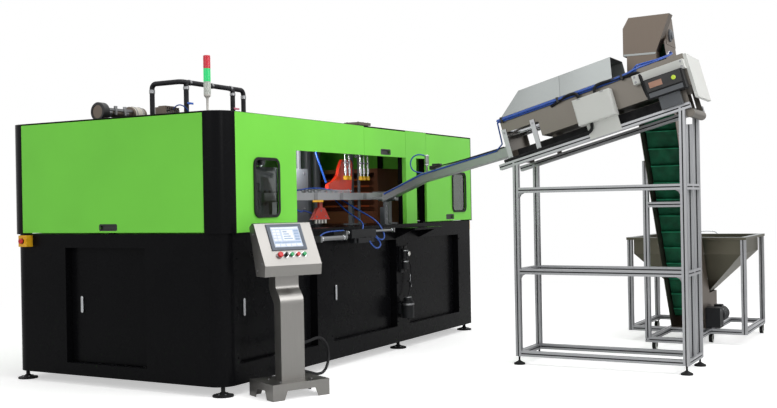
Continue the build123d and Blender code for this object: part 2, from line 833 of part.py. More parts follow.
# Stretch rod carriage, in front of its column, with a bush on the round guide
plate_z = (carriage_low, carriage_low + carriage_thickness)
bush_x = (mx(guide_place[0] - 26), mx(guide_place[0] + 40))
with BuildPart() as stretch_carriage:
    block((mx(rod_places[0] - 40), mx(2470)), (my(rod_y - 25), my(rod_y + 50)), plate_z)
    block((mx(2470), bush_x[1]), (my(rod_y - 25), my(378)), plate_z)
    block(bush_x, (my(378), my(450)), (carriage_low - 30, carriage_low + 50))
    rod((*guide, carriage_low - 31), (*guide, carriage_low + 51), guide_radius + pin_clearance, Mode.SUBTRACT)
    for rod_x in rod_places:
        place = (mx(rod_x), my(rod_y))
        rod((*place, 1575), (*place, carriage_low), rod_radius)
        rod((*place, 1545), (*place, 1580), rod_tip)
        rod((*place, 1600), (*place, 1650), rod_collar)
save(stretch_carriage.part, "stretch_carriage")

# Two transfer rails on end stands, with the transfer bar between them
rail_half = rail_section[0] / 2
rail_bottom = rail_top - rail_section[1]
rail_outside = (my(rail_places[0]) - rail_half, my(rail_places[1]) + rail_half)
rail_stand = 60
with BuildPart() as front_rails:
    for rail in rail_places:
        block((mx(rail_x[0]), mx(rail_x[1])), (my(rail) - rail_half, my(rail) + rail_half),
              (rail_bottom, rail_top))
    for stand in (rail_x[0], rail_x[1] - rail_stand):
        block((mx(stand), mx(stand + rail_stand)), rail_outside, (rail_bottom - 12, rail_bottom))
        block((mx(stand), mx(stand + rail_stand)), (my(265), my(295)), (split_height, rail_bottom - 12))
        block((mx(stand - 30), mx(stand + rail_stand + 30)), (my(220), my(340)),
              (split_height, split_height + 10))
save(front_rails.part, "front_rails")

bar_half = (rail_places[1] - rail_places[0]) / 2 - rail_half - bar_clearance
bar_middle = my((rail_places[0] + rail_places[1]) / 2)
bar_y = (bar_middle - bar_half, bar_middle + bar_half)
bar_z = (rail_bottom + 20, rail_top - 10)
with BuildPart() as transfer_bar:
    block((mx(bar_x[0]), mx(bar_x[1])), bar_y, bar_z)
    for pad in (bar_x[0], bar_x[1] - rail_stand):
        block((mx(pad), mx(pad + rail_stand)), rail_outside, (rail_top + bar_clearance, rail_top + 14))
        block((mx(pad), mx(pad + rail_stand)), bar_y, (bar_z[1], rail_top + 5))
    for index in range(9):
        finger_x = mx(finger_start + index * finger_pitch)
        block((finger_x, finger_x + 34), (bar_middle - 44, bar_middle - 8), (bar_z[1], rail_top + 28))
        block((finger_x + 8, finger_x + 26), (bar_middle - 70, bar_middle - 44),
              (rail_top + 12, rail_top + 24))
save(transfer_bar.part, "transfer_bar")

# Gripper arms: an orange-red bracket above the bar and a smaller one hung below it
bracket_back = bracket_front + bracket_wall
arm_plane = Plane(origin=(hood_left, my(bracket_back), 0), x_dir=(1, 0, 0), z_dir=(0, -1, 0))
grip_middle = (lower_bracket[2][0] + lower_bracket[3][0]) / 2
grip_y = my(bracket_front + bracket_wall / 2)
with BuildPart() as gripper_arms:
    prism(arm_plane, upper_bracket, bracket_wall)
    prism(arm_plane, lower_bracket, bracket_wall)
    block((mx(grip_middle - 25), mx(grip_middle + 25)), (grip_y - 10, grip_y + 10),
          (lower_bracket[2][1] - 5, bar_z[0]))
    for tip in grip_tips:
        rod((mx(tip), grip_y, grip_low), (mx(tip), grip_y, lower_bracket[0][1] + 1), 11)
save(gripper_arms.part, "gripper_arms")

# Heating oven: a hooded box with lamps along its open left end
oven_inside = (my(oven_y[0] + oven_wall), my(oven_y[1] - oven_wall))
lamp_x = mx(oven_x[0] + 40)
with BuildPart() as oven_housing:
    block((mx(oven_x[0]), mx(oven_x[1])), (my(oven_y[0]), my(oven_y[1])), (split_height, oven_top))
    block((mx(oven_x[0] - 1), mx(oven_x[1] - 20)), oven_inside, (1260, oven_top - oven_wall), Mode.SUBTRACT)
    for lamp in range(lamp_count):
        lamp_z = 1310 + lamp * lamp_pitch
        rod((lamp_x, oven_inside[0] + oven_wall, lamp_z), (lamp_x, oven_inside[1] - oven_wall, lamp_z), 8)
        for socket in ((oven_inside[0], oven_inside[0] + oven_wall),
                       (oven_inside[1] - oven_wall, oven_inside[1])):
            block((lamp_x - 10, lamp_x + 10), socket, (lamp_z - 14, lamp_z + 14))
save(oven_housing.part, "oven_housing")

# Ejector under the bay: an air cylinder and a guide rod on brackets, and the carriage between them
ejector_y = base_front - ejector_reach
ejector_start = mx(ejector_x[0])
ejector_end = mx(ejector_x[1])
guide_high = guide_z + 18
bore_start = ejector_start + 152
with BuildPart() as ejector_cylinder:
    rod((ejector_start, ejector_y, ejector_z), (ejector_end, ejector_y, ejector_z), ejector_radius)
    rod((ejector_end, ejector_y, ejector_z), (ejector_end + 20, ejector_y, ejector_z), ejector_radius + 4)
    rod((ejector_end, ejector_y, ejector_z), (ejector_end + 22, ejector_y, ejector_z),
        ejector_rod_radius + pin_clearance,
        Mode.SUBTRACT)
    rod((bore_start, ejector_y, ejector_z), (ejector_end + 1, ejector_y, ejector_z), 12, Mode.SUBTRACT)
    block((ejector_start - 14, ejector_start + 10), (ejector_y - 24, base_front),
          (ejector_z - 26, ejector_z + 24))
    block((ejector_end - 2, ejector_end + 20), (ejector_y - 24, base_front), (ejector_z + 8, guide_high))
    block((ejector_end - 2, ejector_end + 20), (ejector_y + 20, base_front), (ejector_z - 26, guide_high))
    rod((ejector_end + 10, ejector_y, guide_z), (mx(guide_end), ejector_y, guide_z), guide_rod_radius)
    block((mx(guide_end - 10), mx(guide_end + 12)), (ejector_y - 18, base_front), (guide_z - 18, guide_high))
save(ejector_cylinder.part, "ejector_cylinder")

carriage_x = (mx(ejector_carriage[0]), mx(ejector_carriage[1]))
gripper_low = front_door_high + 3
with BuildPart() as ejector_rod:
    rod((bore_start + 10, ejector_y, ejector_z), (carriage_x[0] + 10, ejector_y, ejector_z),
        ejector_rod_radius)
    block(carriage_x, (ejector_y - 26, ejector_y + 26), (ejector_z - 14, guide_z + 22))
    block((carriage_x[0] + 80, carriage_x[1] - 60), (ejector_y - 42, ejector_y + 42),
          (gripper_low, ejector_z - 14))
    rod((carriage_x[0] - 1, ejector_y, guide_z), (carriage_x[1] + 1, ejector_y, guide_z),
        guide_rod_radius + pin_clearance,
        Mode.SUBTRACT)
    for grip in (40, 220, 300):
        place = (carriage_x[0] + grip, ejector_y - 30)
        rod((*place, gripper_low), (*place, ejector_z - 10), 13)
save(ejector_rod.part, "ejector_rod")

# Air preparation on the column between two doors: two bowls, a pipe and a filter lower down
bowl_y = base_front - bowl_radius - 12
filter_y = base_front - filter_radius - 9
filter_high = filter_low + 150
with BuildPart() as air_prep_unit:
    block((mx(air_x - 30), mx(air_x + 30)), (base_front - 18, base_front), (700, 940))
    for bowl_z in bowl_places:
        rod((mx(air_x), bowl_y, bowl_z), (mx(air_x), bowl_y, bowl_z + 84), bowl_radius)
        block((mx(air_x - 20), mx(air_x + 20)), (base_front - 40, base_front - 10), (bowl_z, bowl_z + 30))
    block((mx(air_x - 20), mx(air_x + 20)), (base_front - 40, base_front - 10), (812, 832))
    block((mx(air_x - 60), mx(air_x + 60)), (base_front - 20, base_front),
          (filter_low + 40, filter_high - 15))
    rod((mx(air_x), filter_y, filter_low), (mx(air_x), filter_y, filter_high), filter_radius)
    rod((mx(air_x), filter_y, filter_high), (mx(air_x), filter_y, filter_high + 30), filter_radius - 16)
save(air_prep_unit.part, "air_prep_unit")

# Emergency stops on both ends of the cabinet
stop_left = Plane(origin=(base_left, my(1924), split_height - stop_box / 2 - 8), x_dir=(0, -1, 0),
                  z_dir=(-1, 0, 0))
stop_right = Plane(origin=(base_right, my(106), split_height - stop_box / 2 - 8), x_dir=(0, 1, 0),
                   z_dir=(1, 0, 0))
with BuildPart() as estop_boxes:
    for plane in (stop_left, stop_right):
        block_on(plane, (-stop_box / 2, stop_box / 2), (-stop_box / 2, stop_box / 2), (0, stop_box_depth))
        rod(at(plane, 0, 0, stop_box_depth), at(plane, 0, 0, stop_box_depth + 4), 24)
        rod(at(plane, 0, 0, stop_box_depth - 30), at(plane, 0, 0, stop_box_depth + 5),
            stop_stem + pin_clearance, Mode.SUBTRACT)
save(estop_boxes.part, "estop_boxes")


def push_button(plane, stem, head, head_length, reach, name, dome=0):
    """A button whose stem slides in its bore. The plane lies on the panel, with z outwards."""
    with BuildPart() as button:
        rod(at(plane, 0, 0, -24), at(plane, 0, 0, reach), stem)
        rod(at(plane, 0, 0, reach), at(plane, 0, 0, reach + head_length), head)
        if dome:
            fillet(button.edges().sort_by(Axis(plane.origin, plane.z_dir))[-1], dome)
    save(button.part, name)


push_button(stop_left.offset(stop_box_depth), stop_stem, stop_head, stop_head_length, stop_travel + 6,
            "estop_button_left", 6)
push_button(stop_right.offset(stop_box_depth), stop_stem, stop_head, stop_head_length, stop_travel + 6,
            "estop_button_right", 6)

# Control pedestal. Its own plane starts at the base's front left corner, with x along the front
# edge, y to the back and z up.
turn = radians(pedestal_turn)
pedestal = Plane(origin=(mx(pedestal_x), my(pedestal_y), 0), x_dir=(cos(turn), sin(turn), 0), z_dir=(0, 0, 1))
column_left = (pedestal_width - column_width) / 2
head_left = (pedestal_width - head_width) / 2


def side_plane(x):
    """A plane across the pedestal: its x runs to the back and its y up."""
    return Plane(origin=at(pedestal, x, 0, 0), x_dir=pedestal.y_dir, z_dir=pedestal.x_dir)


with BuildPart() as pedestal_stand:
    block_on(pedestal, (0, pedestal_width), (0, pedestal_depth), (0, pedestal_plate))
    block_on(pedestal, (pedestal_wall, pedestal_width - pedestal_wall),
             (pedestal_wall, pedestal_depth - pedestal_wall),
             (-1, pedestal_plate - pedestal_wall), Mode.SUBTRACT)
    front_face = Plane(origin=at(pedestal, 0, pedestal_depth + 1, 0), x_dir=pedestal.x_dir,
                       z_dir=-pedestal.y_dir)
    notch = [(pedestal_foot, -1), (pedestal_width - pedestal_foot, -1),
             (pedestal_width - pedestal_foot - 24, 62),
             (pedestal_foot + 24, 62)]
    prism(front_face, notch, pedestal_depth + 2, Mode.SUBTRACT)
    side_notch = [(pedestal_foot, -1), (pedestal_depth - pedestal_foot, -1),
                  (pedestal_depth - pedestal_foot - 24, 62),
                  (pedestal_foot + 24, 62)]
    prism(side_plane(-1), side_notch, pedestal_width + 2, Mode.SUBTRACT)
    with BuildSketch(side_plane(column_left)) as column:
        with BuildLine():
            front_low = (111, pedestal_plate)
            Line(front_low, (111, 640))
            Spline((111, 640), (122, 690), (160, 735), (178, 780), tangents=((0, 1), (0, 1)))
            Line((178, 780), (178, 840))
            Line((178, 840), (178 + column_depth, 840))
            Line((178 + column_depth, 840), (178 + column_depth, 760))
            Spline((178 + column_depth, 760), (166 + column_depth, 715), (128 + column_depth, 665),
                   (111 + column_depth, 610), tangents=((0, -1), (0, -1)))
            Line((111 + column_depth, 610), (111 + column_depth, pedestal_plate))
            Line((111 + column_depth, pedestal_plate), front_low)
        make_face()
    extrude(column.sketch, amount=column_width)
    cable_plane = Plane(origin=at(pedestal, pedestal_width / 2, 111 + column_depth, 330),
                        z_dir=pedestal.y_dir)
    rod(at(cable_plane, 0, 0, 0), at(cable_plane, 0, 0, 22), gland_radius)
save(pedestal_stand.part, "pedestal_stand")

# Head box: a wedge with a slanted face, folded from sheet
face_low = (75, 915)
face_high = (235, 1204)
face_plane = Plane(origin=side_plane(head_left).from_local_coords((*face_low, 0)), x_dir=pedestal.x_dir,
                   z_dir=pedestal.x_dir.cross(side_plane(0).from_local_coords((*face_high, 0))
                                              - side_plane(0).from_local_coords((*face_low, 0))))
controls = [("pedestal_estop", 135, 79), ("selector_knob", 184, 79), ("start_button", 231, 79),
            ("stop_button", 281, 79),
            ("reset_button", 331, 79)]
screen_x = (88, 366)
screen_y = (116, 320)
screen_thickness = 8
with BuildPart() as pedestal_head:
    prism(side_plane(head_left), [(85, 840), face_low, face_high, (262, 1208), (300, 1180), (205, 840)],
          head_width)
    cavity = [(90, 844), (80, 913), (236, 1196), (260, 1202), (294, 1178), (201, 844)]
    prism(side_plane(head_left + pedestal_wall), cavity, head_width - 2 * pedestal_wall, Mode.SUBTRACT)
    for name, control_x, control_y in controls:
        rod(at(face_plane, control_x, control_y, -8), at(face_plane, control_x, control_y, 3),
            button_radius + 5)
        rod(at(face_plane, control_x, control_y, -40), at(face_plane, control_x, control_y, 4),
            button_radius + pin_clearance,
            Mode.SUBTRACT)
save(pedestal_head.part, "pedestal_head")

with BuildPart() as touchscreen:
    block_on(face_plane, screen_x, screen_y, (0, screen_thickness))
    block_on(face_plane, (screen_x[0] + 26, screen_x[1] - 26), (screen_y[0] + 22, screen_y[1] - 22),
             (screen_thickness - 2, screen_thickness + 1), Mode.SUBTRACT)
save(touchscreen.part, "touchscreen")

for name, control_x, control_y in controls:
    spot = Plane(origin=at(face_plane, control_x, control_y, 0), x_dir=face_plane.x_dir,
                 z_dir=face_plane.z_dir)
    if name == "selector_knob":
        with BuildPart() as knob:
            rod(at(spot, 0, 0, -24), at(spot, 0, 0, 6), button_radius)
            rod(at(spot, 0, 0, 6), at(spot, 0, 0, 14), button_head)
            block_on(spot, (-5, 5), (-button_head + 1, button_head - 1), (14, 26))
        save(knob.part, name)
    elif name == "pedestal_estop":
        push_button(spot, button_radius, stop_head, stop_head_length, button_travel + 6, name, 6)
    else:
        push_button(spot, button_radius, button_head, 8, button_travel + 5, name, 2)

# Cable of the pedestal: out of the column, over to the right, down in a loop and into the base
gland_end = cable_plane.offset(22).origin
cable_points = [tuple(gland_end)]
turned_out = gland_end + cable_plane.z_dir * 150
cable_points.append(tuple(turned_out))
for x, y, z in [(650, -98, 300), (855, -102, 290), (1040, -105, 318), (1140, -112, 240), (1142, -122, 125),
                (1060, -135, 42), (945, -146, 38), (838, -155, 68), (740, -104, 105), (740, 2, 105)]:
    cable_points.append((mx(x), my(y), z))
cable_radii = []
for before, corner, after in zip(cable_points, cable_points[1:], cable_points[2:]):
    arriving = Vector(*corner) - Vector(*before)
    leaving = Vector(*after) - Vector(*corner)
    half_turn = radians(arriving.get_angle(leaving)) / 2
    cable_radii.append(0.45 * min(arriving.length, leaving.length) / tan(half_turn))
print("cable points", [tuple(round(value, 1) for value in point) for point in cable_points])
print("cable radii", [round(radius, 1) for radius in cable_radii])

with BuildPart() as pedestal_cable:
    with BuildLine() as cable_path:
        FilletPolyline(*cable_points, radius=cable_radii)
    with BuildSketch(Plane(origin=cable_path.line @ 0, z_dir=cable_path.line % 0)) as cable_section:
        Circle(cable_radius)
    sweep(cable_section.sketch, path=cable_path.line)
save(pedestal_cable.part, "pedestal_cable")
cable_length = sum(edge.length for edge in cable_path.line.edges())
print("cable volume over section times length",
      round(pedestal_cable.part.volume / (pi * cable_radius ** 2 * cable_length), 4))

# Sorter stand of aluminium profile. On the slope plane x runs uphill, y along the cabinet and z off the
# rails.
incline = radians(slope_angle)
slope = Plane(origin=(mx((stand_x[0] + stand_x[1]) / 2), my(slope_y), slope_top),
              x_dir=(0, -cos(incline), sin(incline)),
              z_dir=(0, sin(incline), cos(incline)))
stand_half = (stand_x[1] - stand_x[0]) / 2
half_profile = profile_size / 2
with BuildPart() as stand_frame:
    for side in (-1, 1):
        profile(at(slope, 0, side * stand_half, -half_profile),
                at(slope, slope_length, side * stand_half, -half_profile))
    for x in stand_x:
        for y in stand_y:
            top = slope_top + (slope_y - y) * tan(incline) - half_profile / cos(incline)
            profile((mx(x), my(y), stand_bottom), (mx(x), my(y), top))
        for z in stand_beams[:2]:
            profile((mx(x), my(stand_y[0]) - half_profile, z), (mx(x), my(stand_y[1]) + half_profile, z))
    profile((mx(stand_x[0]), my(stand_y[0]) - half_profile, stand_beams[2]),
            (mx(stand_x[0]), my(stand_y[1]) + half_profile, stand_beams[2]))
    ends = (mx(stand_x[0]) + half_profile, mx(stand_x[1]) - half_profile)
    for y in stand_y:
        for z in stand_beams[:2]:
            profile((ends[0], my(y), z), (ends[1], my(y), z), (0, 1, 0))
    profile((ends[0], my(stand_y[1]), stand_beams[2]), (ends[1], my(stand_y[1]), stand_beams[2]), (0, 1, 0))
    profile((mx(2437), my(stand_y[1]), stand_beams[0] + half_profile), (mx(2437), my(stand_y[1]), 1900))
save(stand_frame.part, "stand_frame")

# Sorter: stand-offs, side panels, a pan, end plates that hold the rollers and the pin of the lids
panel_face = trough_half + trough_wall / 2
pin_y = 240
pin_n = 375
pan_level = 120
panel_low = 240
panel_step = 420
stand_off_wall = 8
stand_offs = ((115, 270), (370, 270), (1410, 160), (1520, 160))
bracket_width = 8
lid_brackets = [118, lid_seam - 4, lid_end + 4]
channel_half = 90
channel_wall = 6
channel_low = 20
channel_high = 100
front_roller_s = 1575
front_roller_n = -72
front_roller_radius = 36
with BuildPart() as sorter_trough:
    for side in (-1, 1):
        faces = sorted((side * (trough_half - trough_wall / 2), side * panel_face))
        block_on(slope, (trough_start, panel_step), faces, (panel_low, trough_top))
        block_on(slope, (panel_step - 1, trough_end), faces, (pan_level, trough_top))
        outer = sorted((side * panel_face, side * (panel_face + stand_off_wall)))
        for s, reach in stand_offs:
            block_on(slope, (s - 20, s + 20), outer, (0, reach))
    block_on(slope, (panel_step - 1, trough_end), (-trough_half, trough_half), (pan_level, pan_level + 4))
    block_on(slope, (trough_start, trough_start + 4), (-panel_face, panel_face), (0, 292))
    block_on(slope, (trough_end - 4, trough_end), (-panel_face, panel_face), (pan_level, trough_top))
    channel_end = trough_end - 120
    hollow_half = channel_half - channel_wall
    block_on(slope, (trough_start, channel_end), (-channel_half, channel_half), (channel_low, channel_high))
    block_on(slope, (trough_start + 4, channel_end - 10), (-hollow_half, hollow_half),
             (channel_low + channel_wall, channel_high + 1), Mode.SUBTRACT)
    for s in (460, 1000, channel_end - 50):
        block_on(slope, (s, s + 30), (-channel_half, channel_half), (channel_high - 10, pan_level))
    for side in (-1, 1):
        for face in (trough_start - 1, trough_end - 5):
            rod(at(slope, face, side * roller_spread, roller_height),
                at(slope, face + 6, side * roller_spread, roller_height),
                roller_shaft + pin_clearance, Mode.SUBTRACT)
    rod(at(slope, lid_brackets[0], pin_y, pin_n), at(slope, lid_brackets[2] + bracket_width, pin_y, pin_n),
        lid_pin)
    for s in lid_brackets:
        block_on(slope, (s, s + bracket_width), (panel_face, pin_y + 6), (trough_top - 15, pin_n + 6))
    rail_inside = stand_half - half_profile
    for side in (-1, 1):
        cheek = sorted((side * (rail_inside - 4), side * rail_inside))
        block_on(slope, (front_roller_s - 20, front_roller_s + 20), cheek,
                 (front_roller_n - 28, pan_level + 1))
    rod(at(slope, front_roller_s, 2 - rail_inside, front_roller_n),
        at(slope, front_roller_s, rail_inside - 2, front_roller_n),
        front_roller_radius)
save(sorter_trough.part, "sorter_trough")


def lid_shell(s, inner, slanted):
    """The block that a lid's sheet is the skin of, or the space under the sheet."""
    edge = lid_edge - inner
    ridge = lid_ridge - inner
    low = trough_top - inner
    section_plane = Plane(origin=at(slope, s[0], 0, 0), x_dir=slope.y_dir, z_dir=slope.x_dir)
    side = Plane(origin=at(slope, 0, -lid_edge - 1, 0), x_dir=slope.x_dir, z_dir=-slope.y_dir)
    with BuildPart() as shell:
        prism(section_plane, [(-edge, low), (inner - lid_shoulder, ridge), (edge, ridge), (edge, low)],
              s[1] - s[0])
        if slanted:
            prism(side,
                  [(s[0] - 1, low - 1), (s[0], low - 1), (s[0] + slanted, ridge + 1), (s[0] - 1, ridge + 1)],
                  -2 * lid_edge - 2, Mode.SUBTRACT)
    return shell.part


def lid(s, slanted, knuckles, name):
    """A folded sheet lid with a lip on its near edge and knuckles on the pin at its far edge."""
    outer = lid_shell(s, 0, slanted)
    inner_start = s[0] + lid_wall if slanted else s[0] - 1
    inner_end = s[1] + 1 if not slanted else s[1] - lid_wall
    inner = lid_shell((inner_start, inner_end), lid_wall, slanted)
    with BuildPart() as shell:
        add(outer)
        add(inner, mode=Mode.SUBTRACT)
        block_on(slope, (s[0] - 1, s[1] + 1), (panel_face - 2, pin_y), (trough_top - 1, pin_n + 10),
                 Mode.SUBTRACT)
        block_on(slope, (s[0] + 10, s[1] - 10), (1 - lid_edge, 18 - lid_edge),
                 (trough_top, trough_top + lid_wall))
        for knuckle in knuckles:
            block_on(slope, knuckle, (lid_edge - lid_wall, pin_y), (pin_n + 3, pin_n + 20))
            rod(at(slope, knuckle[0], pin_y, pin_n), at(slope, knuckle[1], pin_y, pin_n), lid_knuckle)
            rod(at(slope, knuckle[0] - 1, pin_y, pin_n), at(slope, knuckle[1] + 1, pin_y, pin_n),
                lid_pin + pin_clearance,
                Mode.SUBTRACT)
    save(shell.part, name)


lid_low = trough_start + 20
lid((lid_low, lid_seam - 1), lid_slant, [(lid_low + 10, lid_low + 80), (lid_seam - 80, lid_seam - 9)],
    "sorter_lid_lower")
lid((lid_seam + 1, lid_end), 0, [(lid_seam + 9, lid_seam + 80), (lid_end - 80, lid_end)], "sorter_lid_upper")

for side, name in ((-1, "sorter_roller_left"), (1, "sorter_roller_right")):
    with BuildPart() as roller:
        rod(at(slope, trough_start + 6, side * roller_spread, roller_height),
            at(slope, trough_end - 6, side * roller_spread, roller_height), roller_radius)
        rod(at(slope, trough_start - 6, side * roller_spread, roller_height),
            at(slope, trough_end + 4, side * roller_spread, roller_height), roller_shaft)
    save(roller.part, name)

# Junction box on the sorter's near side, with its plate, the closed cover of the upper end and the
# drive's head box
box_s = (757, 1065)
box_n = (80, 290)
box_y = -318
cover_depth = 24
head_box_s = (1250, trough_end)
head_box_n = (250, 320)
head_box_y = -290
with BuildPart() as junction_box:
    block_on(slope, box_s, (box_y, -panel_face), box_n)
    block_on(slope, (box_s[0] + 43, box_s[1] - 5), (-255, -stand_half - half_profile), (-40, box_n[0]))
    block_on(slope, (trough_end, trough_end + cover_depth), (-panel_face, panel_face),
             (channel_low, trough_top - 8))
    block_on(slope, (trough_end - 1, trough_end + cover_depth - sheet),
             (sheet - panel_face, panel_face - sheet),
             (channel_low + sheet, trough_top - 8 - sheet), Mode.SUBTRACT)
    block_on(slope, head_box_s, (head_box_y, -panel_face), head_box_n)
save(junction_box.part, "junction_box")

# Chute from the sorter down to the rails, with a small cylinder over its bend
chute_x = (mx(2360), mx(2480))
chute_path = [(-1210, 1765), (-330, 1550), (60, 1383)]
chute_reach = (45, 40, 35)
chute_plane = Plane(origin=(chute_x[1], 0, 0), x_dir=(0, 1, 0), z_dir=(1, 0, 0))
chute_middle = (chute_x[0] + chute_x[1]) / 2
chute_width = chute_x[1] - chute_x[0]
with BuildPart() as chute:
    tops = [(my(y), z + reach) for (y, z), reach in zip(chute_path, chute_reach)]
    lows = [(my(y), z - reach) for (y, z), reach in zip(chute_path, chute_reach)]
    prism(chute_plane, tops + lows[::-1], -chute_width)
    start, bend, end = tops
    hollow = [(start[0] - 1, start[1] + 1), (bend[0], bend[1] + 1), (end[0] + 1, end[1] + 1)]
    start, bend, end = lows
    hollow += [(end[0] + 1, end[1] + sheet), (bend[0], bend[1] + sheet), (start[0] - 1, start[1] + sheet)]
    prism(chute_plane.offset(-sheet), hollow, 2 * sheet - chute_width, Mode.SUBTRACT)
    block_on(slope, (trough_start, trough_start + 100), (-100, 100), (0, 300), Mode.SUBTRACT)
    block((chute_x[0] + 2, chute_x[1] - 2), (my(-375), my(-345)), (1580, 1596))
    rod((chute_middle, my(-360), 1590), (chute_middle, my(-360), 1690), 9)
    rod((chute_middle, my(-360), 1660), (chute_middle, my(-360), 1750), 19)
    block((chute_middle - 15, chute_middle + 15), (lows[2][0] - 100, my(rail_places[0]) - rail_half),
          (1372, 1388))
save(chute.part, "chute")

# Elevator. On its plane x runs up along the belt, y over it and z towards the cabinet.
rise = radians(lift_angle)
lift = Plane(origin=(mx(lift_x), my(lift_y), lift_z), x_dir=(-cos(rise), 0, sin(rise)), z_dir=(0, 1, 0))
boot_low = 140
boot_x = (3944, 4450)
boot_high = 450
carry = drum_radius + bar_clearance

# The head cover and the duct below it follow the head drum
head_middle = lift.from_local_coords((lift_length, belt_rise, 0))
head_x = head_middle.X
head_z = head_middle.Z
front_x = (head_x - 221, head_x - 111)
rear_x = front_x[1]
head_top = head_z + 143
duct_low = head_z - 310
duct_y = (my(-2357), my(-2120))
front_outline = [(my(-2090), head_z - 170), (my(-2090), head_z + 54), (my(-2138), head_top - 5),
                 (my(-2464), head_top),
                 (my(-2357), head_z - 146), (my(-2357), head_z - 170)]
front_hollow = [(my(-2093), head_z - 171), (my(-2093), head_z + 53), (my(-2140), head_top - 8),
                (my(-2460), head_top - 3),
                (my(-2354), head_z - 146), (my(-2354), head_z - 171)]
rear_y = lift_half + sheet
rear_low = head_z - 80
rear_high_x = head_x + 76
rear_low_x = rear_high_x + (head_top - rear_low) / tan(rise)
rear_outline = [(rear_x, rear_low), (rear_x, head_top), (rear_high_x, head_top), (rear_low_x, rear_low)]
rear_hollow = [(rear_x + sheet, rear_low - 1), (rear_x + sheet, head_top - sheet),
               (rear_high_x - 2, head_top - sheet),
               (rear_low_x - 4, rear_low - 1)]
front_plane_at = Plane(origin=(front_x[0], 0, 0), x_dir=(0, 1, 0), z_dir=(1, 0, 0))
rear_plane = Plane(origin=(0, my(lift_y) + rear_y, 0), x_dir=(1, 0, 0), z_dir=(0, -1, 0))
with BuildPart() as lift_sides:
    for side in (-1, 1):
        face = side * lift_half
        block_on(lift, (0, lift_length + 26), (-lift_below, lift_above),
                 sorted((face, face - side * lift_wall)))
        plate = sorted((my(lift_y) + face, my(lift_y) + face - side * lift_wall))
        block((mx(boot_x[0]), mx(boot_x[1])), plate, (boot_low, boot_high))
    across = (my(lift_y) - lift_half, my(lift_y) + lift_half)
    block((mx(3800), mx(4700)), (across[0] - 1, across[1] + 1), (0, boot_low), Mode.SUBTRACT)
    block((mx(boot_x[0]), mx(boot_x[1])), across, (boot_low, boot_low + lift_wall))
    block((mx(boot_x[1]) - lift_wall, mx(boot_x[1])), across, (boot_low, boot_high))
    slide = (belt_rise + carry - lift_wall, belt_rise + carry)
    block_on(lift, (tail_drum + 160, lift_length - 160), slide, (-lift_half, lift_half))
    for brace in (0.25, 0.5, 0.75):
        start = brace * lift_length
        block_on(lift, (start, start + 40), (belt_rise - 20, slide[1]), (-lift_half, lift_half))
    rod(at(lift, tail_drum, belt_rise, -lift_half), at(lift, tail_drum, belt_rise, lift_half), drum_shaft)
    rod(at(lift, tail_drum, belt_rise, -belt_half), at(lift, tail_drum, belt_rise, belt_half), drum_radius)
    rod(at(lift, lift_length, belt_rise, -lift_half - 1), at(lift, lift_length, belt_rise, lift_half + 1),
        drum_shaft + pin_clearance, Mode.SUBTRACT)
    prism(front_plane_at, front_outline, front_x[1] - front_x[0])
    with BuildPart() as rear_cover:
        prism(rear_plane, rear_outline, 2 * rear_y)
        prism(rear_plane.offset(sheet), rear_hollow, 2 * lift_half, Mode.SUBTRACT)
    add(rear_cover.part)
    prism(front_plane_at.offset(sheet), front_hollow, front_x[1] - front_x[0] + 1, Mode.SUBTRACT)
    block(front_x, duct_y, (duct_low, head_z - 169))
    block((front_x[0] + sheet, front_x[1] - sheet), (duct_y[0] + sheet, duct_y[1] - sheet),
          (duct_low - 1, head_z - 160),
          Mode.SUBTRACT)
save(lift_sides.part, "lift_sides")

with BuildPart() as head_drum:
    rod(at(lift, lift_length, belt_rise, -lift_half), at(lift, lift_length, belt_rise, lift_half), drum_shaft)
    rod(at(lift, lift_length, belt_rise, -belt_half), at(lift, lift_length, belt_rise, belt_half),
        drum_radius)
save(head_drum.part, "head_drum")

# Cleated belt around both drums
with BuildPart() as lift_belt:
    belt_plane = Plane(origin=lift.from_local_coords((0, belt_rise, -belt_half)), x_dir=lift.x_dir,
                       z_dir=lift.z_dir)
    for radius, mode in ((carry + belt_thickness, Mode.ADD), (carry, Mode.SUBTRACT)):
        block_on(belt_plane, (tail_drum, lift_length), (-radius, radius), (0, 2 * belt_half), mode)
        for middle in (tail_drum, lift_length):
            rod(at(belt_plane, middle, 0, 0), at(belt_plane, middle, 0, 2 * belt_half), radius, mode)
        if mode == Mode.ADD:
            cleat_count = int((lift_length - tail_drum) / cleat_pitch)
            for index in range(cleat_count):
                x = tail_drum + 60 + index * cleat_pitch
                block_on(belt_plane, (x, x + 6), (-radius - cleat_height, radius + cleat_height),
                         (5, 2 * belt_half - 5))
save(lift_belt.part, "lift_belt")

# Blue air hoses, clipped along the sorter's side, up to the elevator's head and down the chute
hose_radius = 6
hose_y = -panel_face - hose_radius
hose_x = chute_x[0] - hose_radius
plate_y = my(lift_y) - lift_half
with BuildPart() as air_hoses:
    bent_pipe([at(slope, 110, hose_y, 362), at(slope, 1240, hose_y, 362), at(slope, 1300, hose_y, 400),
               (mx(2420), my(-2395), 2420), (mx(2655), plate_y - 35, 2485), (mx(2655), plate_y, 2485)], 20,
               hose_radius)
    bent_pipe([at(slope, 700, hose_y, 345), at(slope, 80, hose_y, 345), (hose_x - 12, my(-1110), 1810),
               (hose_x, my(-1050), 1754), (hose_x, my(-330), 1576), (hose_x, my(40), 1416)], 20, hose_radius)
save(air_hoses.part, "air_hoses")

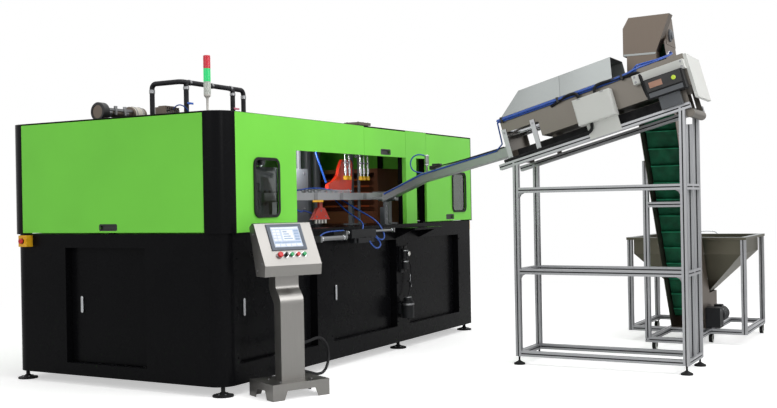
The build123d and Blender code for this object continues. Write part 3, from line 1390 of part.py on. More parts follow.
# Gear motor beside the boot, and the sorter's drive on its near side
motor_x = (3930, 4080, 4300)
motor_out = 130
motor_z = 250
motor_radius = 66
with BuildPart() as drive_motors:
    motor_y = plate_y - motor_out / 2
    block((mx(motor_x[0]), mx(motor_x[1])), (plate_y - motor_out, plate_y), (150, 330))
    rod((mx(motor_x[1]), motor_y - 5, motor_z), (mx(motor_x[2]), motor_y - 5, motor_z), motor_radius)
    block((mx(motor_x[1] + 60), mx(motor_x[1] + 140)), (motor_y - 40, motor_y + 30),
          (motor_z + 55, motor_z + 92))
    block_on(slope, (1330, 1630), (-330, -panel_face - stand_off_wall), (100, head_box_n[0]))
save(drive_motors.part, "drive_motors")

# Trolley under the elevator and the hopper
rails_y = (my(lift_y) - lift_half - half_profile, my(lift_y) + lift_half + half_profile)
beam_z = caster_height + half_profile
legs_x = (mx(hopper_x[0]) + half_profile, mx(hopper_x[1]) - half_profile)
legs_y = (my(hopper_y[0]) + half_profile, my(hopper_y[1]) - half_profile)
leg_top = hopper_rim - hopper_wall
between = (rails_y[0] + half_profile, rails_y[1] - half_profile)
with BuildPart() as trolley_frame:
    for y in rails_y:
        profile((mx(trolley_x) - half_profile, y, beam_z), (legs_x[1] - half_profile, y, beam_z), (0, 1, 0))
        profile((mx(trolley_x), y, beam_z + half_profile), (mx(trolley_x), y, trolley_post_top))
    for z in (beam_z, trolley_cross):
        profile((mx(trolley_x), between[0], z), (mx(trolley_x), between[1], z))
    for x in legs_x:
        for y in legs_y:
            profile((x, y, caster_height), (x, y, leg_top))
        profile((x, legs_y[0] + half_profile, beam_z), (x, legs_y[1] - half_profile, beam_z))
    for y in legs_y:
        profile((legs_x[0] + half_profile, y, beam_z), (legs_x[1] - half_profile, y, beam_z), (0, 1, 0))
save(trolley_frame.part, "trolley_frame")

# Hopper: a rim with a lip over the legs, an upright skirt between them and a funnel down to the boot
skirt_x = (mx(hopper_x[0] + hopper_inset), mx(hopper_x[1] - hopper_inset))
skirt_y = (my(hopper_y[0] + hopper_inset), my(hopper_y[1] - hopper_inset))
rim_x = (mx(hopper_x[0]) - hopper_wall, mx(hopper_x[1]) + hopper_wall)
rim_y = (my(hopper_y[0]) - hopper_wall, my(hopper_y[1]) + hopper_wall)
throat_x = (mx(hopper_throat_x[0]), mx(hopper_throat_x[1]))
throat_y = (my(lift_y) - lift_half + 20, my(lift_y) + lift_half - 20)


def tapered(low, high, grow, mode):
    """A four-sided taper between the throat and the skirt."""
    for_top = (skirt_x[0] - grow, skirt_x[1] + grow, skirt_y[0] - grow, skirt_y[1] + grow)
    for_low = (throat_x[0] - grow, throat_x[1] + grow, throat_y[0] - grow, throat_y[1] + grow)
    with BuildPart() as taper:
        for level, (x0, x1, y0, y1) in ((low, for_low), (high, for_top)):
            with BuildSketch(Plane.XY.offset(level)):
                with Locations(((x0 + x1) / 2, (y0 + y1) / 2)):
                    Rectangle(x1 - x0, y1 - y0)
        loft(ruled=True)
    add(taper.part, mode=mode)


with BuildPart() as hopper:
    block(skirt_x, skirt_y, (hopper_skirt, hopper_rim))
    block(rim_x, rim_y, (leg_top, hopper_rim))
    for x in (rim_x[0] - hopper_wall, rim_x[1]):
        block((x, x + hopper_wall), (rim_y[0] - hopper_wall, rim_y[1] + hopper_wall),
              (hopper_rim - hopper_lip, hopper_rim))
    for y in (rim_y[0] - hopper_wall, rim_y[1]):
        block((rim_x[0], rim_x[1]), (y, y + hopper_wall), (hopper_rim - hopper_lip, hopper_rim))
    block((skirt_x[0] + hopper_wall, skirt_x[1] - hopper_wall),
          (skirt_y[0] + hopper_wall, skirt_y[1] - hopper_wall),
          (hopper_skirt - 1, hopper_rim + 1), Mode.SUBTRACT)
    with BuildPart() as funnel:
        tapered(hopper_throat_z, hopper_skirt, 0, Mode.ADD)
        tapered(hopper_throat_z - 1, hopper_skirt + 1, -hopper_wall, Mode.SUBTRACT)
    add(funnel.part)
save(hopper.part, "hopper")
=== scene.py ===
import math
import bmesh
import bpy
from bpy.props import FloatProperty, FloatVectorProperty, IntProperty, PointerProperty
from mathutils import Matrix, Vector


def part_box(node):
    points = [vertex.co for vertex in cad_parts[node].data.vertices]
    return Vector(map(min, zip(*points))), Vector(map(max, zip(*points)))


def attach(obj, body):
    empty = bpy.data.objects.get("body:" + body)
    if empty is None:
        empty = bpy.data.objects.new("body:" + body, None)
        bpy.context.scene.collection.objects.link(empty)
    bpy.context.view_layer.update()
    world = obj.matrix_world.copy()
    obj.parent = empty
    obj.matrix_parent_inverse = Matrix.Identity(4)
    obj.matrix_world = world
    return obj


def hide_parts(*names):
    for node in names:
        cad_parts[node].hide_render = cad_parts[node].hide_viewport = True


bl_info = {
    "name": "Blow moulding line",
    "version": (1, 0, 0),
    "blender": (4, 5, 0),
    "location": "View3D > Sidebar > Line",
    "description": "Dresses a blow moulding machine with its pedestal, preform sorter and elevator",
    "category": "Object",
}

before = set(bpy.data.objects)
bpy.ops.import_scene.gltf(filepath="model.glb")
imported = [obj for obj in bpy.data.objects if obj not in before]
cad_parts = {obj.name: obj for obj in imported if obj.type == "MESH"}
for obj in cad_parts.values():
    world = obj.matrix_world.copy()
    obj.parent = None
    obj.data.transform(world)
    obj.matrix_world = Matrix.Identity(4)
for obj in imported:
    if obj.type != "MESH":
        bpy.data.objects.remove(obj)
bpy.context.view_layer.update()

ROOT = "line"
TINY = 1e-6
SHARP = math.radians(40)
UP, DOWN, LEFT, RIGHT, FRONT, BACK = (0, 0, 1), (0, 0, -1), (-1, 0, 0), (1, 0, 0), (0, -1, 0), (0, 1, 0)

# Places are in metres, from the centre of the cabinet's front left foot
BASE_FRONT = -0.066
TILT = math.radians(15.3)
RISE = math.radians(61)
TURN = math.radians(-25.5)
CASTERS = [(3.33, -2.168), (3.33, -2.522), (3.97, -2.522), (4.79, -2.835), (4.79, -1.815)]
FEET = [(x, y) for x in (0.0, 2.57, 4.017) for y in (0.0, 1.942)]
CLEATS, CLEAT_START, CLEAT_PITCH = 16, 0.163, 0.165
LIFT_BOLTS, LIFT_BOLT_START, LIFT_BOLT_PITCH = 9, 0.36, 0.27
DOORS = [(0.12, 1.128), (1.368, 2.446), (2.686, 3.764)]
# Name, left and right, bottom and top, body
WINDOW_SEALS = (
    ("left_window_seal", (0.379, 0.673), (1.258, 1.668), ROOT),
    ("right_window_seal", (3.691, 3.991), (1.247, 1.62), "right_cover"),
)
# Name, body, way across, bottom
CUP_PULLS = (
    ("right_cover_pull", "right_cover", RIGHT, 1.151),
    ("hatch_pull", "lintel_hatch", RIGHT, 1.75),
    ("end_cover_pull", "end_cover", FRONT, 1.151),
)

# The photograph's camera, and the white room about the line
CAMERA_PLACE = (-5.672, -4.496, 1.3265)
CAMERA_YAW = math.radians(29.01)
CAMERA_ROLL = -0.018
CAMERA_LENS, CAMERA_SENSOR, CAMERA_END = 47.25, 36, 100
FLOOR_REACH = 40
FLOOR_LIFT = 0.5
FLOOR_MIDDLE = (2.4, -0.6, 0)
FADE_START, FADE_END = 3.6, 8.0
WORLD_STRENGTH = 0.42
# Name, place, what it points at, width and watts
LAMPS = (
    ("Key softbox", (1.0, -9.0, 6.5), (2.0, 0.0, 1.2), 6.0, 400),
    ("Left softbox", (-8.0, 1.0, 5.0), (0.0, 0.8, 1.2), 5.0, 100),
    ("Top softbox", (2.0, -2.0, 8.0), (2.0, -0.5, 0.5), 7.0, 260),
    ("Bay fill", (1.35, 0.3, 1.78), (1.65, 1.0, 1.4), 0.3, 11),
    ("Edge strip", (-4.0, -7.5, 3.0), (0.0, -0.1, 1.2), 1.2, 40),
)


def set_at(origin, x, y, z):
    """A matrix that turns a part's own values into the line's frame."""
    return Matrix.Translation(origin) @ Matrix((x, y, z)).transposed().to_4x4()


# FLOOR is the line's own frame, and HOOD starts at the hood's left and front faces
FLOOR = Matrix.Identity(4)
HOOD = Matrix.Translation((-0.09, -0.09, 0))
# The sorter: uphill, across and off the rails
UPHILL, OFF_RAILS = (0, -math.cos(TILT), math.sin(TILT)), (0, math.sin(TILT), math.cos(TILT))
SLOPE = set_at((2.3475, -1.23, 1.63), UPHILL, RIGHT, OFF_RAILS)
# The elevator: up along the belt, across and off it
ALONG_BELT, OFF_BELT = (-math.cos(RISE), 0, math.sin(RISE)), (math.sin(RISE), 0, math.cos(RISE))
LIFT = set_at((3.95, -2.345, 0.18), ALONG_BELT, BACK, OFF_BELT)
# The pedestal: along its front edge, to the back and up, and its slanted face: across, up and out
PEDESTAL_X = Vector((math.cos(TURN), math.sin(TURN), 0))
PEDESTAL_Y = Vector((-math.sin(TURN), math.cos(TURN), 0))
PEDESTAL = set_at((-0.032, -0.45, 0), PEDESTAL_X, PEDESTAL_Y, UP)
FACE_UP = (PEDESTAL_Y * 0.16 + Vector((0, 0, 0.289))).normalized()
FACE_OUT = PEDESTAL_X.cross(FACE_UP)
FACE = set_at(PEDESTAL @ Vector((-0.001, 0.075, 0.915)), PEDESTAL_X, FACE_UP, FACE_OUT)


def linear(code):
    """Turns an sRGB hex colour into a linear one."""
    parts = [int(code[i:i + 2], 16) / 255 for i in (1, 3, 5)]
    return [p / 12.92 if p <= 0.04045 else ((p + 0.055) / 1.055) ** 2.4 for p in parts]


def swatch(name, text, code):
    """A colour property, with its default as an sRGB hex colour."""
    return FloatVectorProperty(name=name, description=text, subtype="COLOR", size=3, min=0, max=1,
        default=linear(code))


def metres(name, text, default, low, high):
    """A length property in metres."""
    return FloatProperty(name=name, description=text, default=default, min=low, max=high, unit="LENGTH")


class LineColours(bpy.types.PropertyGroup):
    """Colours of the painted and moulded finishes."""
    hood: swatch("Hood", "Paint of the hood's sheets", "#7EDF4E")
    cabinet: swatch("Cabinet", "Paint of the base, the corner posts and the doors", "#0E0E10")
    belt: swatch("Belt", "Facing of the cleated belt", "#0A4A31")
    stainless: swatch("Stainless", "Brushed sheet of the pedestal's column and head", "#94928F")
    plate: swatch("Plate", "Sheet of the elevator's sides and head", "#756B62")
    profile: swatch("Profile", "Anodised profile of the stands", "#B3B4B7")
    bracket: swatch("Bracket", "Paint of the gripper brackets", "#D9351B")
    oven: swatch("Oven", "Heat-darkened paint of the oven", "#7E4A33")
    hose: swatch("Air hose", "Polyurethane air hoses", "#1E4FA8")
    box: swatch("Junction box", "Powder coat of the junction box and the end box", "#CFD0CC")


class LineSizes(bpy.types.PropertyGroup):
    """Sizes of the small repeated pieces."""
    bolt_radius: metres("Bolt head", "Radius of a bolt's head", 0.0065, 0.002, 0.03)
    bolt_height: metres("Bolt height", "Height of a bolt's head", 0.005, 0.001, 0.02)
    bracket: metres("Corner bracket", "Leg of a cast corner bracket", 0.04, 0.01, 0.1)
    conduit: metres("Conduit", "Radius of the corrugated conduits", 0.013, 0.004, 0.03)
    rib_pitch: metres("Rib pitch", "Distance between the ribs of a conduit", 0.009, 0.003, 0.03)
    lens_sides: IntProperty(name="Round sides", description="Sides of a turned piece", default=40, min=12,
        max=96)


# ---- Making meshes

def linked(name, data):
    """Adds an object with its data to the scene."""
    piece = bpy.data.objects.new(name, data)
    bpy.context.scene.collection.objects.link(piece)
    return piece


def add_mesh(name, bm, finish, body, smooth=None, bevel=0.0):
    """Turns a bmesh into a piece that rides on a body."""
    bmesh.ops.remove_doubles(bm, verts=bm.verts, dist=TINY)
    bmesh.ops.recalc_face_normals(bm, faces=bm.faces)
    mesh = bpy.data.meshes.new(name)
    bm.to_mesh(mesh)
    bm.free()
    piece = linked(name, mesh)
    mesh.materials.append(finish)
    if bevel:
        edge = piece.modifiers.new("edges", "BEVEL")
        edge.width = bevel
        edge.segments = 2
        edge.limit_method = "ANGLE"
        edge.angle_limit = SHARP
    if smooth is not None:
        mesh.polygons.foreach_set("use_smooth", [True] * len(mesh.polygons))
        mesh.set_sharp_from_angle(angle=math.radians(smooth))
    if body:
        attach(piece, body)
    return piece


def block(bm, low, high, place=FLOOR):
    """A six-sided block between two corners, set by a matrix."""
    corners = [Vector((x, y, z)) for x in (low[0], high[0]) for y in (low[1], high[1])
        for z in (low[2], high[2])]
    verts = [bm.verts.new(place @ c) for c in corners]
    for face in ((0, 1, 3, 2), (4, 6, 7, 5), (0, 4, 5, 1), (2, 3, 7, 6), (0, 2, 6, 4), (1, 5, 7, 3)):
        bm.faces.new([verts[i] for i in face])


def turned(bm, outline, origin, direction, sides=32, closed=True):
    """A turned piece: an outline of (radius, height) about an axis, a sleeve where it starts off the axis."""
    up = Vector(direction).normalized()
    side = up.cross(Vector(UP) if abs(up.z) < 0.9 else Vector(RIGHT)).normalized()
    other = up.cross(side)
    angles = [math.tau * i / sides for i in range(sides)]
    spokes = [side * math.cos(a) + other * math.sin(a) for a in angles]
    rings = []
    for radius, height in outline:
        middle = Vector(origin) + up * height
        if radius < TINY:
            rings.append([bm.verts.new(middle)])
        else:
            rings.append([bm.verts.new(middle + spoke * radius) for spoke in spokes])
    if closed and outline[0][0] > 0:
        rings.append(rings[0])
    for low, high in zip(rings, rings[1:]):
        for i in range(sides):
            j = (i + 1) % sides
            if len(low) == 1 and len(high) > 1:
                bm.faces.new((low[0], high[i], high[j]))
            elif len(high) == 1 and len(low) > 1:
                bm.faces.new((low[i], low[j], high[0]))
            elif len(low) > 1:
                bm.faces.new((low[i], low[j], high[j], high[i]))


def bridge(bm, one, two):
    """Faces between two closed loops of as many points."""
    for i in range(len(one)):
        j = (i + 1) % len(one)
        bm.faces.new((one[i], one[j], two[j], two[i]))


def pushed(bm, outline, origin, across, upwards, depth):
    """A flat outline pushed along its normal by a depth."""
    across, upwards = Vector(across), Vector(upwards)
    out = across.cross(upwards).normalized()
    near = [bm.verts.new(Vector(origin) + across * x + upwards * y) for x, y in outline]
    far = [bm.verts.new(v.co + out * depth) for v in near]
    bm.faces.new(near[::-1])
    bm.faces.new(far)
    bridge(bm, near, far)


def rounded(width, height, radius, steps=6):
    """The outline of a rectangle with round corners, about its centre."""
    points = []
    wide, tall = width / 2 - radius, height / 2 - radius
    for cx, cy, start in ((1, 1, 0), (-1, 1, 90), (-1, -1, 180), (1, -1, 270)):
        for i in range(steps + 1):
            a = math.radians(start + 90 * i / steps)
            points.append((cx * wide + radius * math.cos(a), cy * tall + radius * math.sin(a)))
    return points


def frame_band(bm, outer, inner, origin, across, upwards, depth):
    """A closed band between two outlines with the same number of points, with a thickness."""
    across, upwards = Vector(across), Vector(upwards)
    out = across.cross(upwards).normalized() * depth
    loops = []
    for outline, lift in ((outer, 0), (outer, 1), (inner, 1), (inner, 0)):
        loops.append([bm.verts.new(Vector(origin) + across * x + upwards * y + out * lift)
            for x, y in outline])
    for a, b in zip(loops, loops[1:] + loops[:1]):
        bridge(bm, a, b)


def spline(name, points, radius=0.0, steps=None):
    """A smooth curve, with a round section where it has a radius."""
    curve = bpy.data.curves.new(name, "CURVE")
    curve.dimensions = "3D"
    line = curve.splines.new("NURBS")
    line.points.add(len(points) - 1)
    for point, place in zip(line.points, points):
        point.co = (*place, 1)
    line.order_u = 3
    line.use_endpoint_u = True
    if steps:
        line.resolution_u = steps
    curve.bevel_depth = radius
    curve.use_fill_caps = radius > 0
    return linked(name, curve)


def smooth_line(name, points, radius, finish, body, steps=8):
    """A round tube on a smooth spline."""
    piece = spline(name, points, radius, steps)
    piece.data.materials.append(finish)
    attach(piece, body)
    return piece


def point_cloud(name, spots):
    """A mesh of loose points with the direction that each one faces."""
    mesh = bpy.data.meshes.new(name)
    mesh.from_pydata([place for place, facing in spots], [], [])
    facing = mesh.attributes.new("facing", "FLOAT_VECTOR", "POINT")
    for value, (place, direction) in zip(facing.data, spots):
        value.vector = Vector(direction).normalized()
    return linked(name, mesh)


def grown(source, tree, name, values, body):
    """Runs a node group on a source object and keeps the result as a plain mesh on a body."""
    modifier = source.modifiers.new("grow", "NODES")
    modifier.node_group = tree
    for item in tree.interface.items_tree:
        if item.item_type == "SOCKET" and item.in_out == "INPUT" and item.name in values:
            modifier[item.identifier] = values[item.name]
    bpy.context.view_layer.update()
    mesh = bpy.data.meshes.new_from_object(source.evaluated_get(bpy.context.evaluated_depsgraph_get()))
    mesh.name = name
    piece = linked(name, mesh)
    bpy.data.objects.remove(source)
    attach(piece, body)
    return piece


# ---- Making node trees and materials

def feed(node, inputs):
    """Links a node's inputs to sockets, or to the first output of other nodes, or sets plain values."""
    for key, value in inputs.items():
        if isinstance(value, bpy.types.Node):
            value = next(socket for socket in value.outputs if socket.enabled)
        if isinstance(value, bpy.types.NodeSocket):
            node.id_data.links.new(value, node.inputs[key])
        else:
            node.inputs[key].default_value = value


def add_node(tree, kind, inputs=None, **settings):
    """Adds a node with its settings and its links or values."""
    made = tree.nodes.new(kind)
    for key, value in settings.items():
        setattr(made, key, value)
    feed(made, inputs or {})
    return made


def open_group(name, lengths):
    """A geometry node group with its lengths and a finish as inputs, and one geometry in and out."""
    tree = bpy.data.node_groups.new(name, "GeometryNodeTree")
    tree.interface.new_socket("Geometry", in_out="INPUT", socket_type="NodeSocketGeometry")
    for title, default in lengths.items():
        socket = tree.interface.new_socket(title, in_out="INPUT", socket_type="NodeSocketFloat")
        socket.default_value = default
    tree.interface.new_socket("Finish", in_out="INPUT", socket_type="NodeSocketMaterial")
    tree.interface.new_socket("Geometry", in_out="OUTPUT", socket_type="NodeSocketGeometry")
    return tree, add_node(tree, "NodeGroupInput").outputs


def close_group(tree, given, geometry):
    """Makes the instances real, gives them the finish and ends the group."""
    real = add_node(tree, "GeometryNodeRealizeInstances", {0: geometry})
    finished = add_node(tree, "GeometryNodeSetMaterial", {"Geometry": real, "Material": given["Finish"]})
    add_node(tree, "NodeGroupOutput", {0: finished})
    return tree


def bolt_tree():
    """Hexagon bolt heads on round washers, one on each point, square to the way it faces."""
    tree, given = open_group("Bolt heads", {"Head radius": 0.009, "Head height": 0.006})
    radius, height = given["Head radius"], given["Head height"]
    washer_radius = add_node(tree, "ShaderNodeMath", {0: radius, 1: 1.45}, operation="MULTIPLY")
    washer_height = add_node(tree, "ShaderNodeMath", {0: height, 1: 0.3}, operation="MULTIPLY")
    head = add_node(tree, "GeometryNodeMeshCylinder", {"Vertices": 6, "Radius": radius, "Depth": height})
    washer = add_node(tree, "GeometryNodeMeshCylinder", {"Vertices": 16, "Radius": washer_radius,
        "Depth": washer_height})
    lift = add_node(tree, "ShaderNodeMath", {0: height, 1: 0.5}, operation="MULTIPLY")
    raised = add_node(tree, "ShaderNodeCombineXYZ", {"Z": lift})
    head_up = add_node(tree, "GeometryNodeTransform", {"Geometry": head, "Translation": raised})
    both = add_node(tree, "GeometryNodeJoinGeometry", {0: head_up})
    feed(both, {0: washer})
    facing = add_node(tree, "GeometryNodeInputNamedAttribute", {"Name": "facing"}, data_type="FLOAT_VECTOR")
    turn = add_node(tree, "FunctionNodeAlignRotationToVector", {"Vector": facing}, axis="Z")
    heads = add_node(tree, "GeometryNodeInstanceOnPoints", {"Points": given["Geometry"], "Instance": both,
        "Rotation": turn})
    return close_group(tree, given, heads)


def conduit_tree():
    """A corrugated conduit: a tube on the curve, with round ribs at an even pitch."""
    tree, given = open_group("Corrugated conduit", {"Radius": 0.013, "Rib pitch": 0.009})
    pitch = given["Rib pitch"]
    even = add_node(tree, "GeometryNodeResampleCurve", {"Curve": given["Geometry"], "Length": pitch},
        mode="LENGTH")
    inner = add_node(tree, "ShaderNodeMath", {0: given["Radius"], 1: 0.86}, operation="MULTIPLY")
    section = add_node(tree, "GeometryNodeCurvePrimitiveCircle", {"Resolution": 12, "Radius": inner})
    tube = add_node(tree, "GeometryNodeCurveToMesh", {"Curve": even, "Profile Curve": section,
        "Fill Caps": True})
    ring_line = add_node(tree, "GeometryNodeCurvePrimitiveCircle", {"Resolution": 12, "Radius": inner})
    rib_radius = add_node(tree, "ShaderNodeMath", {0: pitch, 1: 0.32}, operation="MULTIPLY")
    ring_section = add_node(tree, "GeometryNodeCurvePrimitiveCircle", {"Resolution": 6, "Radius": rib_radius})
    rib = add_node(tree, "GeometryNodeCurveToMesh", {"Curve": ring_line, "Profile Curve": ring_section})
    points = add_node(tree, "GeometryNodeCurveToPoints", {"Curve": even}, mode="EVALUATED")
    ribs = add_node(tree, "GeometryNodeInstanceOnPoints", {"Points": points, "Instance": rib,
        "Rotation": points.outputs["Rotation"]})
    both = add_node(tree, "GeometryNodeJoinGeometry", {0: tube})
    feed(both, {0: ribs})
    return close_group(tree, given, both)


def rgba(colour, factor=1):
    """A colour made darker or paler by a factor, with its alpha."""
    return (*[min(1, c * factor) for c in colour], 1)


def start_finish(name, colour, sockets):
    """A material with its shader and Object coordinates, and plain values on the shader's own sockets."""
    finish = bpy.data.materials.new(name)
    finish.use_nodes = True
    tree = finish.node_tree
    shader = tree.nodes["Principled BSDF"]
    feed(shader, {"Base Color": rgba(colour), **sockets})
    return finish, tree, shader, add_node(tree, "ShaderNodeTexCoord").outputs["Object"]


def vary_colour(shader, place, colour, other, scale):
    """Colour that drifts between two tones over the surface."""
    noise = add_node(shader.id_data, "ShaderNodeTexNoise", {"Vector": place, "Scale": scale, "Detail": 4})
    ramp = add_node(shader.id_data, "ShaderNodeValToRGB", {"Fac": noise})
    for element, position, shade in zip(ramp.color_ramp.elements, (0.35, 0.7), (colour, other)):
        element.position = position
        element.color = shade
    feed(shader, {"Base Color": ramp})


def vary_roughness(shader, place, low, high, scale):
    """Roughness that drifts, as handled and wiped surfaces show."""
    tree = shader.id_data
    noise = add_node(tree, "ShaderNodeTexNoise", {"Vector": place, "Scale": scale, "Detail": 3})
    span = {"From Min": 0.3, "From Max": 0.7, "To Min": low, "To Max": high}
    feed(shader, {"Roughness": add_node(tree, "ShaderNodeMapRange", {"Value": noise, **span})})


def fine_bump(shader, place, scale, strength, distance, detail=2):
    """A fine uneven surface."""
    tree = shader.id_data
    noise = add_node(tree, "ShaderNodeTexNoise", {"Vector": place, "Scale": scale, "Detail": detail})
    bump = add_node(tree, "ShaderNodeBump", {"Height": noise, "Strength": strength, "Distance": distance})
    feed(shader, {"Normal": bump})


def textured(name, colour, sockets, drift, rough, bump):
    """A finish whose colour, gloss and surface all drift a little."""
    finish, tree, shader, place = start_finish(name, colour, sockets)
    vary_colour(shader, place, rgba(colour), rgba(colour, drift[0]), drift[1])
    vary_roughness(shader, place, *rough)
    fine_bump(shader, place, *bump)
    return finish


def spray_paint(name, colour, roughness, specular, coat):
    """Two-pack paint sprayed on sheet: an even gloss with orange peel about 3 mm across."""
    sockets = {"Specular IOR Level": specular, "Coat Weight": coat, "Coat Roughness": 0.08}
    return textured(name, colour, sockets, (0.94, 1.7), (roughness, roughness + 0.07, 6), (330, 0.05, 0.0004))


def brushed_metal(name, colour, roughness, along, warm=0.94, streak=0.8):
    """Rolled sheet brushed one way: streaks 1 to 2 mm wide, many times as long, with a soft sheen across."""
    finish, tree, shader, place = start_finish(name, colour, {"Metallic": 1.0, "Anisotropic": 0.45})
    scale = [900, 900, 900]
    scale[along] = 9
    stretch = add_node(tree, "ShaderNodeMapping", {"Vector": place, "Scale": scale})
    lines = add_node(tree, "ShaderNodeTexNoise", {"Vector": stretch, "Scale": 0.7, "Detail": 3})
    cloud = add_node(tree, "ShaderNodeTexNoise", {"Vector": place, "Scale": 3.2, "Detail": 4})
    mix = add_node(tree, "ShaderNodeMapRange", {"Value": lines, "From Min": 0.3, "From Max": 0.7})
    shade = add_node(tree, "ShaderNodeMix", {"Factor": mix, "A": rgba(colour, streak), "B": rgba(colour)},
        data_type="RGBA")
    dull = add_node(tree, "ShaderNodeMix", {"Factor": cloud, "A": shade, "B": rgba(colour, warm)},
        data_type="RGBA")
    rough = add_node(tree, "ShaderNodeMapRange", {"Value": lines, "To Min": roughness - 0.08,
        "To Max": roughness + 0.1})
    bump = add_node(tree, "ShaderNodeBump", {"Height": lines, "Strength": 0.12, "Distance": 0.0003})
    feed(shader, {"Base Color": dull, "Roughness": rough, "Normal": bump})
    return finish


def moulded_plastic(name, colour, roughness):
    """Injection-moulded plastic with a fine spark-eroded grain, drawn at about 1.5 mm so that it shows."""
    rough = (roughness, roughness + 0.1, 40)
    return textured(name, colour, {"IOR": 1.5}, (0.88, 25), rough, (700, 0.08, 0.0003))


def soft_rubber(name, colour, grain, strength):
    """Rubber or foam: dull, slightly dusty, with a closed-cell or moulded grain."""
    bump = (grain, strength, 0.0008, 4)
    return textured(name, colour, {"Specular IOR Level": 0.3}, (1.9, 12), (0.55, 0.8, 20), bump)


def smoked_acrylic(name, colour):
    """Cast acrylic sheet: clear with a faint grey green tint, and wiped so that its gloss drifts."""
    finish, tree, shader, place = start_finish(name, colour, {"Transmission Weight": 1.0, "IOR": 1.49,
        "Roughness": 0.02})
    vary_colour(shader, place, rgba(colour), rgba(linear("#A9B3AD")), 3)
    vary_roughness(shader, place, 0.01, 0.05, 14)
    return finish


def lamp_plastic(name, colour, glow):
    """A ribbed polycarbonate lens: clear colour with upright ribs 3 mm apart, and a soft inner light."""
    finish, tree, shader, place = start_finish(name, colour, {"IOR": 1.58, "Transmission Weight": 0.35,
        "Emission Strength": glow, "Roughness": 0.15, "Emission Color": rgba(colour)})
    rib = add_node(tree, "ShaderNodeTexWave", {"Vector": place, "Scale": 50, "Distortion": 0.4},
        bands_direction="Z")
    height = rib.outputs["Fac"]
    shade = add_node(tree, "ShaderNodeMix", {"Factor": height, "A": rgba(colour, 0.78), "B": rgba(colour)},
        data_type="RGBA")
    bump = add_node(tree, "ShaderNodeBump", {"Height": height, "Strength": 0.4, "Distance": 0.001})
    feed(shader, {"Base Color": shade, "Normal": bump})
    return finish


def banded(name, bands, sockets):
    """One node in several colours that change at heights, such as a tip on a rod."""
    finish, tree, shader, place = start_finish(name, bands[0][1], sockets)
    height = add_node(tree, "ShaderNodeSeparateXYZ", {"Vector": place}).outputs["Z"]
    colour, metal = rgba(bands[0][1]), bands[0][2]
    for start, tint, metallic in bands[1:]:
        above = add_node(tree, "ShaderNodeMath", {0: height, 1: start}, operation="GREATER_THAN")
        colour = add_node(tree, "ShaderNodeMix", {"Factor": above, "A": colour, "B": rgba(tint)},
            data_type="RGBA")
        metal = add_node(tree, "ShaderNodeMix", {"Factor": above, "A": metal, "B": metallic},
            data_type="FLOAT")
    cloud = add_node(tree, "ShaderNodeTexNoise", {"Vector": place, "Scale": 30, "Detail": 3})
    worn = add_node(tree, "ShaderNodeMapRange", {"Value": cloud, "To Min": 0.82, "To Max": 1.05})
    shade = add_node(tree, "ShaderNodeVectorMath", {0: colour, "Scale": worn}, operation="SCALE")
    feed(shader, {"Base Color": shade, "Metallic": metal})
    fine_bump(shader, place, 500, 0.08, 0.0003)
    return finish


